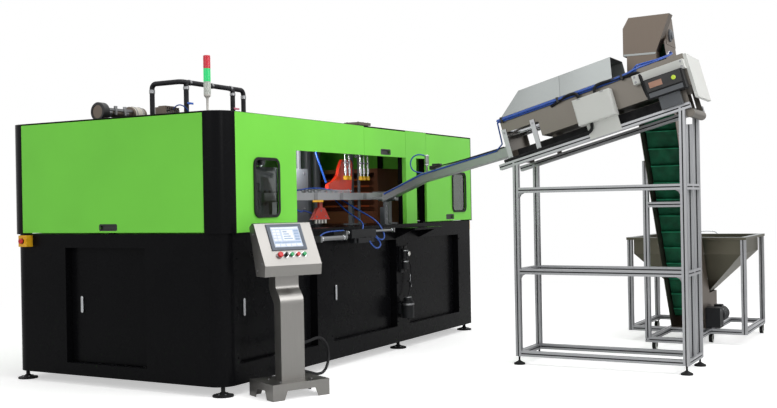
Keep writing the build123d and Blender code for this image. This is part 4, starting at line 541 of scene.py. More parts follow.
# Each finish has a short name, its slot, what makes it, its name, its colour and its own values
FINISHES = (
    ("hood", None, spray_paint, "Two-pack gloss paint, lime", "hood", 0.35, 0.2, 0.0),
    ("black", None, spray_paint, "Gloss powder coat, black", "cabinet", 0.24, 0.06, 0.0),
    ("dark", None, spray_paint, "Satin machine paint, charcoal", "#1C1D1F", 0.45, 0.2, 0.0),
    ("bay", "dark_metal", spray_paint, "Satin machine paint, iron grey", "#55585C", 0.4, 0.4, 0.0),
    ("grey", "grey_paint", spray_paint, "Motor enamel, grey", "#3A3C3E", 0.4, 0.4, 0.1),
    ("oven", None, spray_paint, "Heat-darkened enamel, brown", "oven", 0.4, 0.4, 0.1),
    ("pale", "pale_paint", spray_paint, "Powder coat, pale grey", "box", 0.45, 0.4, 0.0),
    ("red", "red_paint", spray_paint, "Machine enamel, signal red", "bracket", 0.3, 0.5, 0.2),
    ("stainless", None, brushed_metal, "Brushed stainless sheet, upright", "stainless", 0.34, 2),
    ("lid", "stainless", brushed_metal, "Stainless lid sheet, brushed along", "#9DA1A0", 0.42, 1),
    ("trough", None, brushed_metal, "Stainless trough sheet, mill finish", "#7B766F", 0.4, 1, 0.9, 0.9),
    ("hopper", None, brushed_metal, "Stainless hopper sheet", "#6C695C", 0.36, 0),
    ("plate", None, brushed_metal, "Elevator plate, mill finish", "plate", 0.4, 2, 0.85),
    # This finish is painted light: a paler, dull copy of the elevator plate for its lit inner face.
    ("lining", "plate_steel", spray_paint, "Zinc-primed plate, stone grey", "#A79E96", 0.5, 0.3, 0.0),
    ("profile", "aluminium", brushed_metal, "Anodised aluminium profile", "profile", 0.4, 1, 0.95, 0.9),
    ("machined", "aluminium", brushed_metal, "Machined aluminium", "#9A9B9D", 0.35, 0, 0.9),
    ("chrome", "chrome", brushed_metal, "Hard chrome on ground steel", "#D5D7DA", 0.16, 0, 0.97, 0.95),
    ("rubber", "black_rubber", soft_rubber, "Moulded rubber, black", "#121213", 500, 0.2),
    ("foam", None, soft_rubber, "Closed-cell foam insulation", "#1B1B1E", 260, 0.5),
    ("belt", None, soft_rubber, "PVC belt facing, green", "belt", 900, 0.25),
    # This finish is painted shade: black strips that darken the insides of the profiles' slots.
    ("slot", "black_rubber", soft_rubber, "Slot cover strip, black", "#141416", 600, 0.1),
    # This finish is a paler green than the belt: a painted highlight along the cleats' edges.
    ("cleat", "belt_green", soft_rubber, "PVC cleat edge, worn green", "#1F7A57", 700, 0.2),
    ("yellow", "yellow_plastic", moulded_plastic, "ABS, yellow", "#F2B51D", 0.35),
    ("stop_red", None, moulded_plastic, "ABS, red", "#D01F22", 0.28),
    ("green", None, moulded_plastic, "ABS, green", "#19A05A", 0.28),
    ("black_plastic", "black_plastic", moulded_plastic, "ABS, black", "#141415", 0.35),
    ("bezel", None, moulded_plastic, "Screen bezel, slate plastic", "#4B5564", 0.3),
    ("hose", None, moulded_plastic, "Polyurethane hose, blue", "hose", 0.25),
    ("cream", "pale_paint", moulded_plastic, "Filter housing, cream", "#D9D3C4", 0.35),
    ("white_plastic", "tower_plastic", moulded_plastic, "Acetal, white", "#E6E3DC", 0.35),
    ("lime_key", "yellow_plastic", moulded_plastic, "ABS, lime", "#C9E23C", 0.3),
    ("clay", "oven_brown", moulded_plastic, "Laminate plate, clay", "#A9806C", 0.45),
    ("valve_blue", "blue_hose", moulded_plastic, "Nylon, blue", "#2C63C4", 0.3),
    ("valve_pink", "blue_hose", moulded_plastic, "Nylon, rose", "#D77C92", 0.3),
    ("screen_ground", "screen", moulded_plastic, "Screen film, pale blue", "#C9D6EA", 0.2),
    ("screen_tile", "screen", moulded_plastic, "Screen film, white", "#EDF2F8", 0.2),
    ("screen_key", "screen", moulded_plastic, "Screen film, blue grey", "#9CB2D2", 0.2),
    ("cable", None, soft_rubber, "Cable sleeve, black PVC", "#101012", 700, 0.15),
    ("ember", "oven_brown", moulded_plastic, "Quartz lamp, ember", "#B5532B", 0.3),
    ("glass", None, smoked_acrylic, "Smoked acrylic sheet", "#B9C2BC"),
    ("lens_red", "tower_plastic", lamp_plastic, "Polycarbonate lens, red", "#E0203A", 0.12),
    ("lens_green", "tower_plastic", lamp_plastic, "Polycarbonate lens, green, lit", "#14A860", 0.9),
    ("lens_clear", "tower_plastic", lamp_plastic, "Polycarbonate lens, clear", "#D9DDD6", 0.06),
)
FINISH = {}


def make_finishes(colours):
    """Every finish of the line, by a short name. A colour is an sRGB hex colour or one of the properties."""
    for key, slot, kind, title, source, *values in FINISHES:
        colour = linear(source) if source.startswith("#") else getattr(colours, source)
        FINISH[key] = kind(title, colour, *values)
    FINISH["grip"] = banded("Grippers, red enamel with white tips", [(1.0, linear("#E6E3DC"), 0.0),
        (1.206, colours.bracket, 0.0)], {"Roughness": 0.32, "Specular IOR Level": 0.5})
    FINISH["rods"] = banded("Stretch rods, chrome with yellow tips", [(1.0, linear("#E3B91E"), 0.0),
        (1.582, linear("#D0D2D5"), 1.0), (1.785, linear("#8E9092"), 1.0)], {"Roughness": 0.25})


def dress(finish, *nodes):
    """Gives CAD nodes a finish."""
    for name in nodes:
        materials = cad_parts[name].data.materials
        materials.clear()
        materials.append(FINISH[finish])


def add_piece(name, bm, finish, body=ROOT, smooth=35, bevel=0.0):
    """A mesh in a finish, riding on a body."""
    add_mesh(name, bm, FINISH[finish], body, smooth, bevel)


def strips(name, runs):
    """Black strips in the four slots of each profile, set 3 mm into the slot: painted shade for the slots'
    dark insides.
    """
    bm = bmesh.new()
    half, inner, outer = 0.0048, 0.0175, 0.0195
    for start, end in runs:
        start, end = Vector(start), Vector(end)
        along = (end - start).normalized()
        side = Vector(BACK if abs(along.x) > 0.9 or abs(along.z) > 0.9 else RIGHT)
        place = set_at(start, side, along.cross(side), along)
        for low, high in (((-half, inner), (half, outer)), ((-half, -outer), (half, -inner)),
                ((inner, -half), (outer, half)), ((-outer, -half), (-inner, half))):
            block(bm, (*low, 0.001), (*high, (end - start).length - 0.001), place)
    add_piece(name, bm, "slot", smooth=None)


def bolts(name, spots, finish="machined", body=ROOT, place=HOOD):
    """Bolt heads on the given spots, each square to its own direction."""
    sizes = bpy.context.scene.line_sizes
    tree = bpy.data.node_groups.get("Bolt heads") or bolt_tree()
    values = {"Head radius": sizes.bolt_radius, "Head height": sizes.bolt_height, "Finish": FINISH[finish]}
    source = point_cloud(name + "_spots", [(place @ Vector(spot), facing) for spot, facing in spots])
    grown(source, tree, name, values, body)


def conduit(name, points):
    """A corrugated conduit along a smooth route over the sorter."""
    sizes = bpy.context.scene.line_sizes
    tree = bpy.data.node_groups.get("Corrugated conduit") or conduit_tree()
    values = {"Radius": sizes.conduit, "Rib pitch": sizes.rib_pitch, "Finish": FINISH["cable"]}
    source = spline(name + "_route", [SLOPE @ Vector(point) for point in points])
    grown(source, tree, name, values, ROOT)


def hose(name, points, radius=0.006, finish="hose", body=ROOT, place=HOOD):
    """An air hose along a smooth route."""
    route = [place @ Vector(point) for point in points]
    smooth_line(name, route, radius, FINISH[finish], body)


def solid(name, finish, blocks, bevel=0.0015, place=HOOD, smooth=35):
    """One piece of several bevelled blocks."""
    bm = bmesh.new()
    for low, high in blocks:
        block(bm, low, high, place)
    add_piece(name, bm, finish, ROOT, smooth, bevel)


def lathe(name, finish, parts, body=ROOT, sides=32, place=HOOD, closed=True):
    """One piece of several turned shapes: an outline, an origin and a direction for each."""
    bm = bmesh.new()
    for outline, origin, direction in parts:
        turned(bm, outline, place @ Vector(origin), direction, sides, closed)
    add_piece(name, bm, finish, body)


def can(radius, length, edge=0.002):
    """The outline of a closed can with soft edges."""
    return [(0, 0), (radius - edge, 0), (radius, edge), (radius, length - edge), (radius - edge, length),
        (0, length)]


def collar(inner, outer, length, edge=0.0015):
    """The outline of a hollow collar."""
    return [(inner, 0), (outer - edge, 0), (outer, edge), (outer, length - edge), (outer - edge, length),
        (inner, length)]


def stand_runs():
    """The profiles of the sorter's stand, as they stand in the part."""
    runs = []
    xs, ys, half = (2.119, 2.576), (-1.373, -2.718), 0.0225
    for x in xs:
        for y in ys:
            top = 1.63 + (-1.23 - y) * math.tan(TILT) - half / math.cos(TILT)
            runs.append(((x, y, 0.067), (x, y, top)))
        for z in (0.09, 0.758):
            runs.append(((x, ys[0] - half, z), (x, ys[1] + half, z)))
        runs.append([SLOPE @ Vector((s, x - 2.3475, -half)) for s in (0, 1.6)])
    runs.append(((xs[0], ys[0] - half, 1.418), (xs[0], ys[1] + half, 1.418)))
    for y in ys:
        for z in (0.09, 0.758):
            runs.append(((xs[0] + half, y, z), (xs[1] - half, y, z)))
    runs.append(((xs[0] + half, ys[1], 1.418), (xs[1] - half, ys[1], 1.418)))
    runs.append(((2.347, ys[1], 0.1125), (2.347, ys[1], 1.9)))
    return runs


def trolley_runs():
    """The profiles of the trolley, as they stand in the part."""
    runs = []
    for y in (-2.5225, -2.1675):
        runs.append(((3.0975, y, 0.1175), (4.815, y, 0.1175)))
        runs.append(((3.12, y, 0.14), (3.12, y, 1.66)))
    for z in (0.1175, 1.28):
        runs.append(((3.12, -2.5, z), (3.12, -2.19, z)))
    for x in (3.8625, 4.8375):
        for y in (-2.8375, -1.8125):
            runs.append(((x, y, 0.095), (x, y, 0.967)))
        runs.append(((x, -2.815, 0.1175), (x, -1.835, 0.1175)))
    for y in (-2.8375, -1.8125):
        runs.append(((3.885, y, 0.1175), (4.815, y, 0.1175)))
    return runs


# ---- Operators

class LINE_OT_stage(bpy.types.Operator):
    """Sets the camera, the floor, the backdrop and the studio lights"""
    bl_idname = "line.stage"
    bl_label = "Stage, camera and lights"

    def execute(self, context):
        scene = context.scene
        scene.view_settings.view_transform = "Standard"
        ahead = Vector((math.cos(CAMERA_YAW), math.sin(CAMERA_YAW), 0))
        right = Vector((math.sin(CAMERA_YAW), -math.cos(CAMERA_YAW), 0))
        level = right * math.cos(CAMERA_ROLL) + Vector(UP) * math.sin(CAMERA_ROLL)
        above = Vector(UP) * math.cos(CAMERA_ROLL) - right * math.sin(CAMERA_ROLL)
        data = bpy.data.cameras.new("Photograph")
        data.sensor_width = CAMERA_SENSOR
        data.lens = CAMERA_LENS
        data.clip_end = CAMERA_END
        scene.camera = linked("Photograph", data)
        scene.camera.matrix_world = set_at(CAMERA_PLACE, level, above, -ahead)

        white = (1, 1, 1, 1)
        bm = bmesh.new()
        corners = [(x * FLOOR_REACH, y * FLOOR_REACH, 0) for x, y in ((-1, -1), (1, -1), (1, 1), (-1, 1))]
        bm.faces.new([bm.verts.new(corner) for corner in corners])
        paper, tree, shader, place = start_finish("Studio paper, white", linear("#F4F4F4"),
            {"Roughness": 0.9, "Specular IOR Level": 0.1})
        vary_colour(shader, place, rgba(linear("#F6F6F6")), rgba(linear("#F2F2F2")), 0.5)
        camera_ray = add_node(tree, "ShaderNodeLightPath").outputs["Is Camera Ray"]
        lift = add_node(tree, "ShaderNodeMath", {0: camera_ray, 1: FLOOR_LIFT}, operation="MULTIPLY")
        feed(shader, {"Emission Color": white, "Emission Strength": lift})
        from_middle = add_node(tree, "ShaderNodeVectorMath", {0: place, 1: FLOOR_MIDDLE},
            operation="DISTANCE")
        far = add_node(tree, "ShaderNodeMapRange", {"Value": from_middle, "From Min": FADE_START,
            "From Max": FADE_END}, interpolation_type="SMOOTHSTEP")
        glow = add_node(tree, "ShaderNodeEmission", {"Color": white, "Strength": 1.0})
        seen = add_node(tree, "ShaderNodeMath", {0: far, 1: camera_ray}, operation="MULTIPLY")
        joined = add_node(tree, "ShaderNodeMixShader", {0: seen, 1: shader, 2: glow})
        feed(tree.nodes["Material Output"], {"Surface": joined})
        floor = add_mesh("studio_floor", bm, paper, None)

        scene.world = bpy.data.worlds.new("Studio")
        scene.world.use_nodes = True
        tree = scene.world.node_tree
        plain = tree.nodes["Background"]
        feed(plain, {"Color": white, "Strength": WORLD_STRENGTH})
        glow = add_node(tree, "ShaderNodeBackground", {"Color": white, "Strength": 1.0})
        ray = add_node(tree, "ShaderNodeLightPath").outputs
        through = add_node(tree, "ShaderNodeMath", {0: ray["Is Camera Ray"], 1: ray["Is Transmission Ray"]},
            operation="MAXIMUM")
        seen = add_node(tree, "ShaderNodeMath", {0: through, 1: ray["Is Glossy Ray"]}, operation="MAXIMUM")
        mix = add_node(tree, "ShaderNodeMixShader", {0: seen, 1: plain, 2: glow})
        feed(tree.nodes["World Output"], {"Surface": mix})

        for name, place, target, size, power in LAMPS:
            data = bpy.data.lights.new(name, "AREA")
            data.shape = "SQUARE"
            data.size = size
            data.energy = power
            lamp = linked(name, data)
            lamp.location = place
            lamp.rotation_euler = (Vector(target) - Vector(place)).to_track_quat("-Z", "Y").to_euler()
            lamp.visible_camera = False
        return {"FINISHED"}


class LINE_OT_cable(bpy.types.Operator):
    """Lays the pedestal's cable from its column to the cabinet"""
    bl_idname = "line.cable"
    bl_label = "Pedestal cable"

    def execute(self, context):
        route = [(0.2679, -0.3438, 0.33), (0.3325, -0.2084, 0.33), (0.56, -0.188, 0.3),
            (0.765, -0.192, 0.29), (0.95, -0.195, 0.318), (1.05, -0.202, 0.24), (1.052, -0.212, 0.125),
            (0.97, -0.225, 0.042), (0.855, -0.236, 0.038), (0.748, -0.245, 0.068), (0.65, -0.194, 0.105),
            (0.65, -0.088, 0.105)]
        cable = smooth_line("pedestal_lead", route, 0.011, FINISH["cable"], ROOT, steps=12)
        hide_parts("pedestal_cable")
        relief = [(0.0114, 0), (0.0158, 0), (0.0158, 0.007), (0.0138, 0.011), (0.0138, 0.016),
            (0.0146, 0.018), (0.0132, 0.021), (0.014, 0.024), (0.0126, 0.027), (0.0134, 0.03),
            (0.0122, 0.034), (0.0114, 0.034)]
        leaving = (Vector(route[1]) - Vector(route[0])).normalized()
        lathe("cable_reliefs", "black_plastic", [(relief, route[0], leaving), (relief, route[-1], FRONT)],
            sides=24, place=FLOOR)
        return {"FINISHED"}


class LINE_OT_base(bpy.types.Operator):
    """Finishes the base, its doors, handles, feet and casters"""
    bl_idname = "line.base"
    bl_label = "Base and doors"

    def execute(self, context):
        dress("black", "base_frame", "base_panels", "front_door_left", "front_door_middle",
            "front_door_right", "end_door")
        dress("chrome", "left_door_handle", "middle_door_handle", "right_door_handle", "end_door_handle")
        dress("rubber", "feet_and_casters")
        bm = bmesh.new()
        for x, y in CASTERS:
            for way in (-1, 1):
                turned(bm, collar(0.013, 0.0385, 0.003), (x, y + way * 0.0165 - 0.0015, 0.04), BACK, 28)
        add_piece("caster_rims", bm, "pale")
        spots = []
        for x, y in FEET:
            for turn in range(6):
                angle = math.radians(60 * turn)
                spots.append(((x + 0.045 * math.cos(angle), y + 0.045 * math.sin(angle), 0.0175), UP))
        bolts("foot_screws", spots, place=FLOOR)
        plates = []
        for left, right in DOORS:
            for x in (left - 0.02, right + 0.02):
                for z in (0.26, 0.61, 0.96):
                    plates.append(((x, BASE_FRONT, z), FRONT))
        bolts("door_frame_screws", plates, "black", place=FLOOR)
        return {"FINISHED"}


class LINE_OT_hood(bpy.types.Operator):
    """Finishes the hood and adds window seals and cup pulls"""
    bl_idname = "line.hood"
    bl_label = "Hood and windows"

    def execute(self, context):
        dress("hood", "hood_panels", "end_cover", "right_cover", "lintel_hatch")
        dress("black", "hood_frame")
        dress("dark", "roof_panel")
        dress("glass", "left_window", "right_window")
        for name, x, z, body in WINDOW_SEALS:
            bm = bmesh.new()
            width, height = x[1] - x[0], z[1] - z[0]
            middle = HOOD @ Vector((sum(x) / 2, -0.0035, sum(z) / 2))
            outer = rounded(width + 0.03, height + 0.03, 0.058)
            inner = rounded(width - 0.012, height - 0.012, 0.04)
            frame_band(bm, outer, inner, middle, LEFT, UP, -0.0075)
            add_piece(name, bm, "rubber", body, smooth=40, bevel=0.0015)
        for name, body, across, start in CUP_PULLS:
            low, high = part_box(body)
            middle = (low + high) / 2
            if across == RIGHT:
                middle.y = low.y
            else:
                middle.x = low.x
            middle.z = start + 0.016 + 0.0225
            out = Vector(across).cross(Vector(UP))
            bm = bmesh.new()
            outer, inner = rounded(0.178, 0.051, 0.012), rounded(0.15, 0.03, 0.008)
            frame_band(bm, outer, inner, middle - out * 0.0015, across, UP, 0.003)
            pushed(bm, rounded(0.164, 0.037, 0.006), middle - out * 0.0132, across, UP, 0.002)
            add_piece(name, bm, "black_plastic", body, bevel=0.0008)
        return {"FINISHED"}


class LINE_OT_roof(bpy.types.Operator):
    """Builds the signal tower, the pipes' collars, the blower and the fittings on the roof"""
    bl_idname = "line.roof"
    bl_label = "Roof pieces"

    def execute(self, context):
        low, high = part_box("signal_tower")
        middle = (low + high) / 2
        top, lens = high.z - low.z, 0.097
        stem = top - 3 * lens - 0.022
        foot = [(0, 0), (0.024, 0), (0.024, 0.006), (0.013, 0.012), (0.009, 0.02), (0.009, stem - 0.01),
            (0.016, stem), (0, stem)]
        ring = [(0, 0), (0.016, 0), (0.0265, 0.012), (0.0265, 0.022), (0, 0.022)]
        shade = [(0, 0), (0.027, 0), (0.027, lens - 0.005), (0.025, lens - 0.004), (0.025, lens), (0, lens)]
        parts = (("tower_stem", "white_plastic", 0, foot), ("tower_collar", "white_plastic", stem, ring))
        lenses = (("tower_clear", "lens_clear", 3), ("tower_green", "lens_green", 2),
            ("tower_red", "lens_red", 1))
        parts += tuple((name, finish, top - count * lens, shade) for name, finish, count in lenses)
        for name, finish, lift, outline in parts:
            bm = bmesh.new()
            outline = [(radius, height + lift) for radius, height in outline]
            turned(bm, outline, (middle.x, middle.y, low.z), UP, context.scene.line_sizes.lens_sides)
            part = add_mesh(name, bm, FINISH[finish], ROOT, smooth=35)
            if name == "tower_stem":
                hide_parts("signal_tower")

        dress("foam", "roof_pipes")
        dress("plate", "roof_fittings")
        y, z = 1.35, 2.078
        lathe("blower_ring", "black_plastic", [(collar(0.052, 0.0735, 0.068, 0.006), (0.201, y, z), RIGHT)],
            sides=40)
        lathe("blower_drum", "cream", [(can(0.0648, 0.118, 0.012), (0.556, y, z), RIGHT)], sides=40)
        bands = [(collar(0.06, 0.0668, 0.01), (x, y, z), RIGHT) for x in (0.575, 0.645)]
        bands += [(collar(0.033, 0.0375, 0.03), (x, y, z), RIGHT) for x in (0.3, 0.48)]
        lathe("blower_bands", "machined", bands, sides=40)
        solid("blower_saddle", "red", [((0.562, 1.292, 2.0002), (0.668, 1.408, 2.034))], bevel=0.004)
        solid("blower_rail", "machined", [((0.27, 1.306, 2.092), (0.545, 1.314, 2.112)),
            ((0.345, 1.296, 2.06), (0.365, 1.318, 2.13)), ((0.445, 1.296, 2.06), (0.465, 1.318, 2.13))])
        foot = collar(0.0196, 0.0265, 0.012)
        collars = []
        for x, y in ((0.655, 1.2), (1.458, 0.9)):
            collars += [(collar(0.0196, 0.0235, 0.03), (x, y, 2.245), UP), (foot, (x, y, 2.0005), UP)]
        for x in (0.715, 1.31):
            collars += [(foot, (x, 0.9, 2.0005), UP), (collar(0.0196, 0.024, 0.024), (x, 0.9, 2.262), UP)]
        collars += [(collar(0.0196, 0.0235, 0.022), (x, 0.9, 2.32), RIGHT) for x in (0.745, 1.02, 1.27)]
        lathe("pipe_collars", "machined", collars, sides=28)
        for name, finish, x in (("valve_handle_blue", "valve_blue", 0.715),
                ("valve_handle_rose", "valve_pink", 1.31)):
            grip = HOOD @ Vector((x, 0.862, 2.15))
            bm = bmesh.new()
            turned(bm, can(0.009, 0.024), grip, BACK, 20)
            block(bm, grip + Vector((-0.034, -0.006, -0.008)), grip + Vector((0.034, 0.002, 0.008)))
            add_piece(name, bm, finish, bevel=0.002)
        hose("roof_hose_blue", [(0.617, 0.953, 2.1), (0.6, 0.9, 2.14), (0.65, 0.85, 2.12),
            (0.715, 0.88, 2.08)], 0.005)
        hose("roof_hose_black", [(0.565, 0.953, 2.09), (0.54, 0.86, 2.1), (0.52, 0.8, 2.03),
            (0.5, 0.76, 2.004)], 0.005, "cable")
        starts = [0.5385 + index * 0.012 for index in range(1, 14, 2)]
        solid("cooler_fins", "machined", [((x, 0.957, 2.021), (x + 0.004, 1.063, 2.1)) for x in starts],
            bevel=0.0)
        bolts("vent_screws", [((x, y, 2.0955), UP) for x in (2.6, 2.69, 2.78) for y in (0.44, 0.56)])
        bolts("roof_screws", [((x, y, 2.0), UP) for x in (0.25, 1.3, 2.3, 3.3, 3.95) for y in (0.03, 2.092)])
        return {"FINISHED"}


class LINE_OT_station(bpy.types.Operator):
    """Finishes the blow station, the rails, the oven and the grippers inside the hood"""
    bl_idname = "line.station"
    bl_label = "Blow station"

    def execute(self, context):
        dress("bay", "clamp_frame")
        dress("machined", "mould_front", "mould_back")
        dress("profile", "front_rails", "transfer_bar")
        dress("grip", "gripper_arms")
        dress("oven", "oven_housing")
        dress("rods", "stretch_carriage")
        cylinder = can(0.04, 0.3355, 0.004)
        lathe("bay_cylinders", "bay", [(cylinder, (1.03, 0.5, 1.66), UP), (cylinder, (1.13, 0.5, 1.66), UP),
            (can(0.026, 0.4155, 0.003), (1.86, 0.62, 1.58), UP)])
        rod = can(0.013, 0.1)
        lathe("bay_cylinder_rods", "chrome", [(rod, (1.03, 0.5, 1.565), UP), (rod, (1.13, 0.5, 1.565), UP),
            (can(0.01, 0.12), (1.86, 0.62, 1.465), UP)])
        rods = (2.046, 2.111, 2.305, 2.362, 2.432)
        springs = [(collar(0.0172, 0.019, 0.018), (x, 0.25, 1.549), UP) for x in rods]
        lathe("rod_springs", "yellow", springs, "stretch_carriage", 24)
        nuts = [(collar(0.0092, 0.0165, 0.014), (x, 0.25, z), UP) for x in rods for z in (1.768, 1.69)]
        lathe("rod_nuts", "machined", nuts, "stretch_carriage", 6)
        solid("rail_blocks", "machined", [((x, 0.186, 1.372), (x + 0.05, 0.1899, 1.428))
            for x in (1.05, 1.45, 1.85, 2.25, 2.65)])
        solid("rail_marker", "yellow", [((1.42, 0.1835, 1.352), (1.58, 0.1899, 1.3695))])
        hose("bay_hose_drop", [(1.79, 0.42, 1.955), (1.79, 0.4, 1.8), (1.83, 0.36, 1.64),
            (1.87, 0.34, 1.52)], 0.009, body="transfer")
        hose("bay_hose_left", [(1.2, 0.3, 1.3695), (1.22, 0.24, 1.31), (1.3, 0.22, 1.27), (1.42, 0.28, 1.29),
            (1.6, 0.318, 1.26)], body="transfer")
        hose("bay_hose_middle", [(2.02, 0.345, 1.372), (2.0, 0.24, 1.28), (1.93, 0.05, 1.2),
            (1.8, -0.072, 1.16), (1.78, -0.072, 1.121)], body="ejector")
        hose("bay_hose_right", [(2.12, 0.34, 1.372), (2.16, 0.18, 1.27), (2.17, 0.0, 1.18),
            (2.13, -0.1, 1.04), (2.02, -0.1, 1.01), (1.961, -0.08, 1.075)], body="ejector")
        hose("transfer_hose", [(1.25, 0.24, 1.448), (1.45, 0.232, 1.474), (1.75, 0.232, 1.462),
            (1.9, 0.27, 1.448)], 0.005, body="transfer")
        solid("chute_bracket", "bay", [((2.405, 0.062, 1.142), (2.465, 0.078, 1.348)),
            ((2.39, 0.04, 1.1412), (2.48, 0.12, 1.15)), ((2.415, 0.078, 1.142), (2.423, 0.118, 1.3))])
        bolts("chute_bracket_bolts", [((2.435, 0.0619, z), FRONT) for z in (1.19, 1.25, 1.31)])
        bolts("platen_bolts", [((x, 0.46, z), FRONT) for x in (1.39, 1.71) for z in (1.3, 1.6)])
        places = ((1.9, 1.46), (2.18, 1.46), (2.14, 1.56), (2.16, 1.68), (1.66, 1.23), (1.8, 1.23),
            (1.73, 1.28))
        bolts("gripper_bolts", [((x, 0.305, z), FRONT) for x, z in places], body="transfer")
        solid("oven_trims", "machined", [((3.175, y, 1.245), (3.19, y + 0.03, 1.655))
            for y in (0.565, 1.465)])
        lathe("oven_lamps", "ember", [(collar(0.0082, 0.0098, 0.3), (3.2, y, 1.31 + row * 0.066), BACK)
            for row in range(5) for y in (0.68, 1.06)], sides=16)
        return {"FINISHED"}


class LINE_OT_front_gear(bpy.types.Operator):
    """Finishes the ejector, the air unit and the stop buttons on the cabinet"""
    bl_idname = "line.front_gear"
    bl_label = "Ejector, air unit and stop buttons"

    def execute(self, context):
        dress("machined", "ejector_cylinder")
        dress("dark", "ejector_rod", "air_prep_unit")
        dress("yellow", "estop_boxes")
        dress("stop_red", "estop_button_left", "estop_button_right")
        caps = [(collar(0.0201, 0.0235, 0.014), (x, -0.072, 1.062), RIGHT) for x in (1.13, 1.455)]
        caps += [(collar(0.0101, 0.015, 0.01), (x, -0.072, 1.098), RIGHT) for x in (1.54, 2.27)]
        lathe("ejector_caps", "chrome", caps, sides=28)
        bowls = [(collar(0.0301, 0.0325, 0.01), (2.62, -0.018, z + 0.066), UP) for z in (0.73, 0.83)]
        lathe("bowl_rings", "chrome", bowls)
        lathe("air_knob", "black_plastic", [(can(0.018, 0.03, 0.004), (2.62, -0.018, 0.9145), UP),
            (can(0.012, 0.02, 0.003), (2.62, -0.018, 0.709), UP)])
        lathe("air_gauge", "chrome", [(can(0.022, 0.016), (2.62, -0.0505, 0.872), FRONT)])
        dial = can(0.019, 0.0012, 0.0004)
        lathe("air_gauge_face", "white_plastic", [(dial, (2.62, -0.0664, 0.872), FRONT)])
        caps = [(can(0.034, 0.01), (2.62, -0.041, 0.4702), UP), (collar(0.0562, 0.059, 0.016),
            (2.62, -0.041, 0.405), UP)]
        lathe("filter_cap", "machined", caps, closed=False)
        hose("air_feed", [(2.66, -0.012, 0.822), (2.72, -0.02, 0.8), (2.74, -0.02, 0.7), (2.72, -0.02, 0.55),
            (2.66, -0.02, 0.47), (2.63, -0.041, 0.4705)], 0.006, "cable")
        hose("ejector_hose_loop", [(1.82, -0.112, 1.02), (1.86, -0.125, 0.965), (1.96, -0.125, 0.95),
            (2.02, -0.115, 1.0), (1.961, -0.085, 1.055)], body="ejector")
        hose("ejector_feed", [(1.12, -0.072, 1.083), (1.18, -0.066, 1.113), (1.4, -0.06, 1.118),
            (1.5, -0.06, 1.1165)], 0.005)
        ring = collar(0.0115, 0.0225, 0.0008, 0.0003)
        lathe("stop_collars", "black_plastic", [(ring, (-0.1321, 1.834, 1.089), LEFT),
            (ring, (4.1491, 0.016, 1.089), RIGHT)], place=FLOOR)
        return {"FINISHED"}


class LINE_OT_pedestal(bpy.types.Operator):
    """Finishes the pedestal and its operator panel"""
    bl_idname = "line.pedestal"
    bl_label = "Control pedestal"

    def execute(self, context):
        dress("stainless", "pedestal_stand", "pedestal_head")
        dress("bezel", "touchscreen")
        dress("stop_red", "pedestal_estop", "stop_button")
        dress("green", "start_button", "reset_button")
        dress("black_plastic", "selector_knob")
        ring = collar(0.0162, 0.0205, 0.0026, 0.001)
        rings = [(ring, (x, 0.079, 0.0001), FACE_OUT) for x in (0.135, 0.184, 0.231, 0.281, 0.331)]
        lathe("button_rings", "chrome", rings, sides=28, place=FACE)
        solid("screen_film", "screen_ground", [((0.1142, 0.1382, 0.0062), (0.3398, 0.2978, 0.0068))],
            bevel=0.0002, place=FACE)
        low, top = 0.0068, 0.0072
        lines = [(0.19 + 0.022 * row, 0.206 + 0.022 * row) for row in range(4)]
        tiles = [((0.1222, 0.282, low), (0.332, 0.292, top))]
        tiles += [((x, start, low), (x + 0.026, end, top)) for x in (0.124, 0.155) for start, end in lines]
        tiles += [((0.196, 0.19, low), (0.286, 0.272, top))]
        tiles += [((0.122 + 0.043 * index, 0.145, low), (0.158 + 0.043 * index, 0.163, top))
            for index in range(5)]
        solid("screen_tiles", "screen_tile", tiles, bevel=0.0, place=FACE)
        keys = [((0.294, start, low), (0.332, end, top)) for start, end in lines]
        keys += [((0.206, 0.2 + 0.018 * row, top), (0.274 - 0.012 * row, 0.208 + 0.018 * row, 0.0076))
            for row in range(4)]
        keys += [((0.122, 0.169, low), (0.332, 0.181, top))]
        solid("screen_keys", "screen_key", keys, bevel=0.0, place=FACE)
        bolts("column_screws", [((x, y, 0.113), UP) for x in (0.1, 0.35) for y in (0.075, 0.24)],
            place=PEDESTAL)
        screws = ((0.12, 0.93), (0.19, 0.88), (0.25, 1.13))
        bolts("head_screws", [((-0.001, y, z), -PEDESTAL_X) for y, z in screws], place=PEDESTAL)
        return {"FINISHED"}


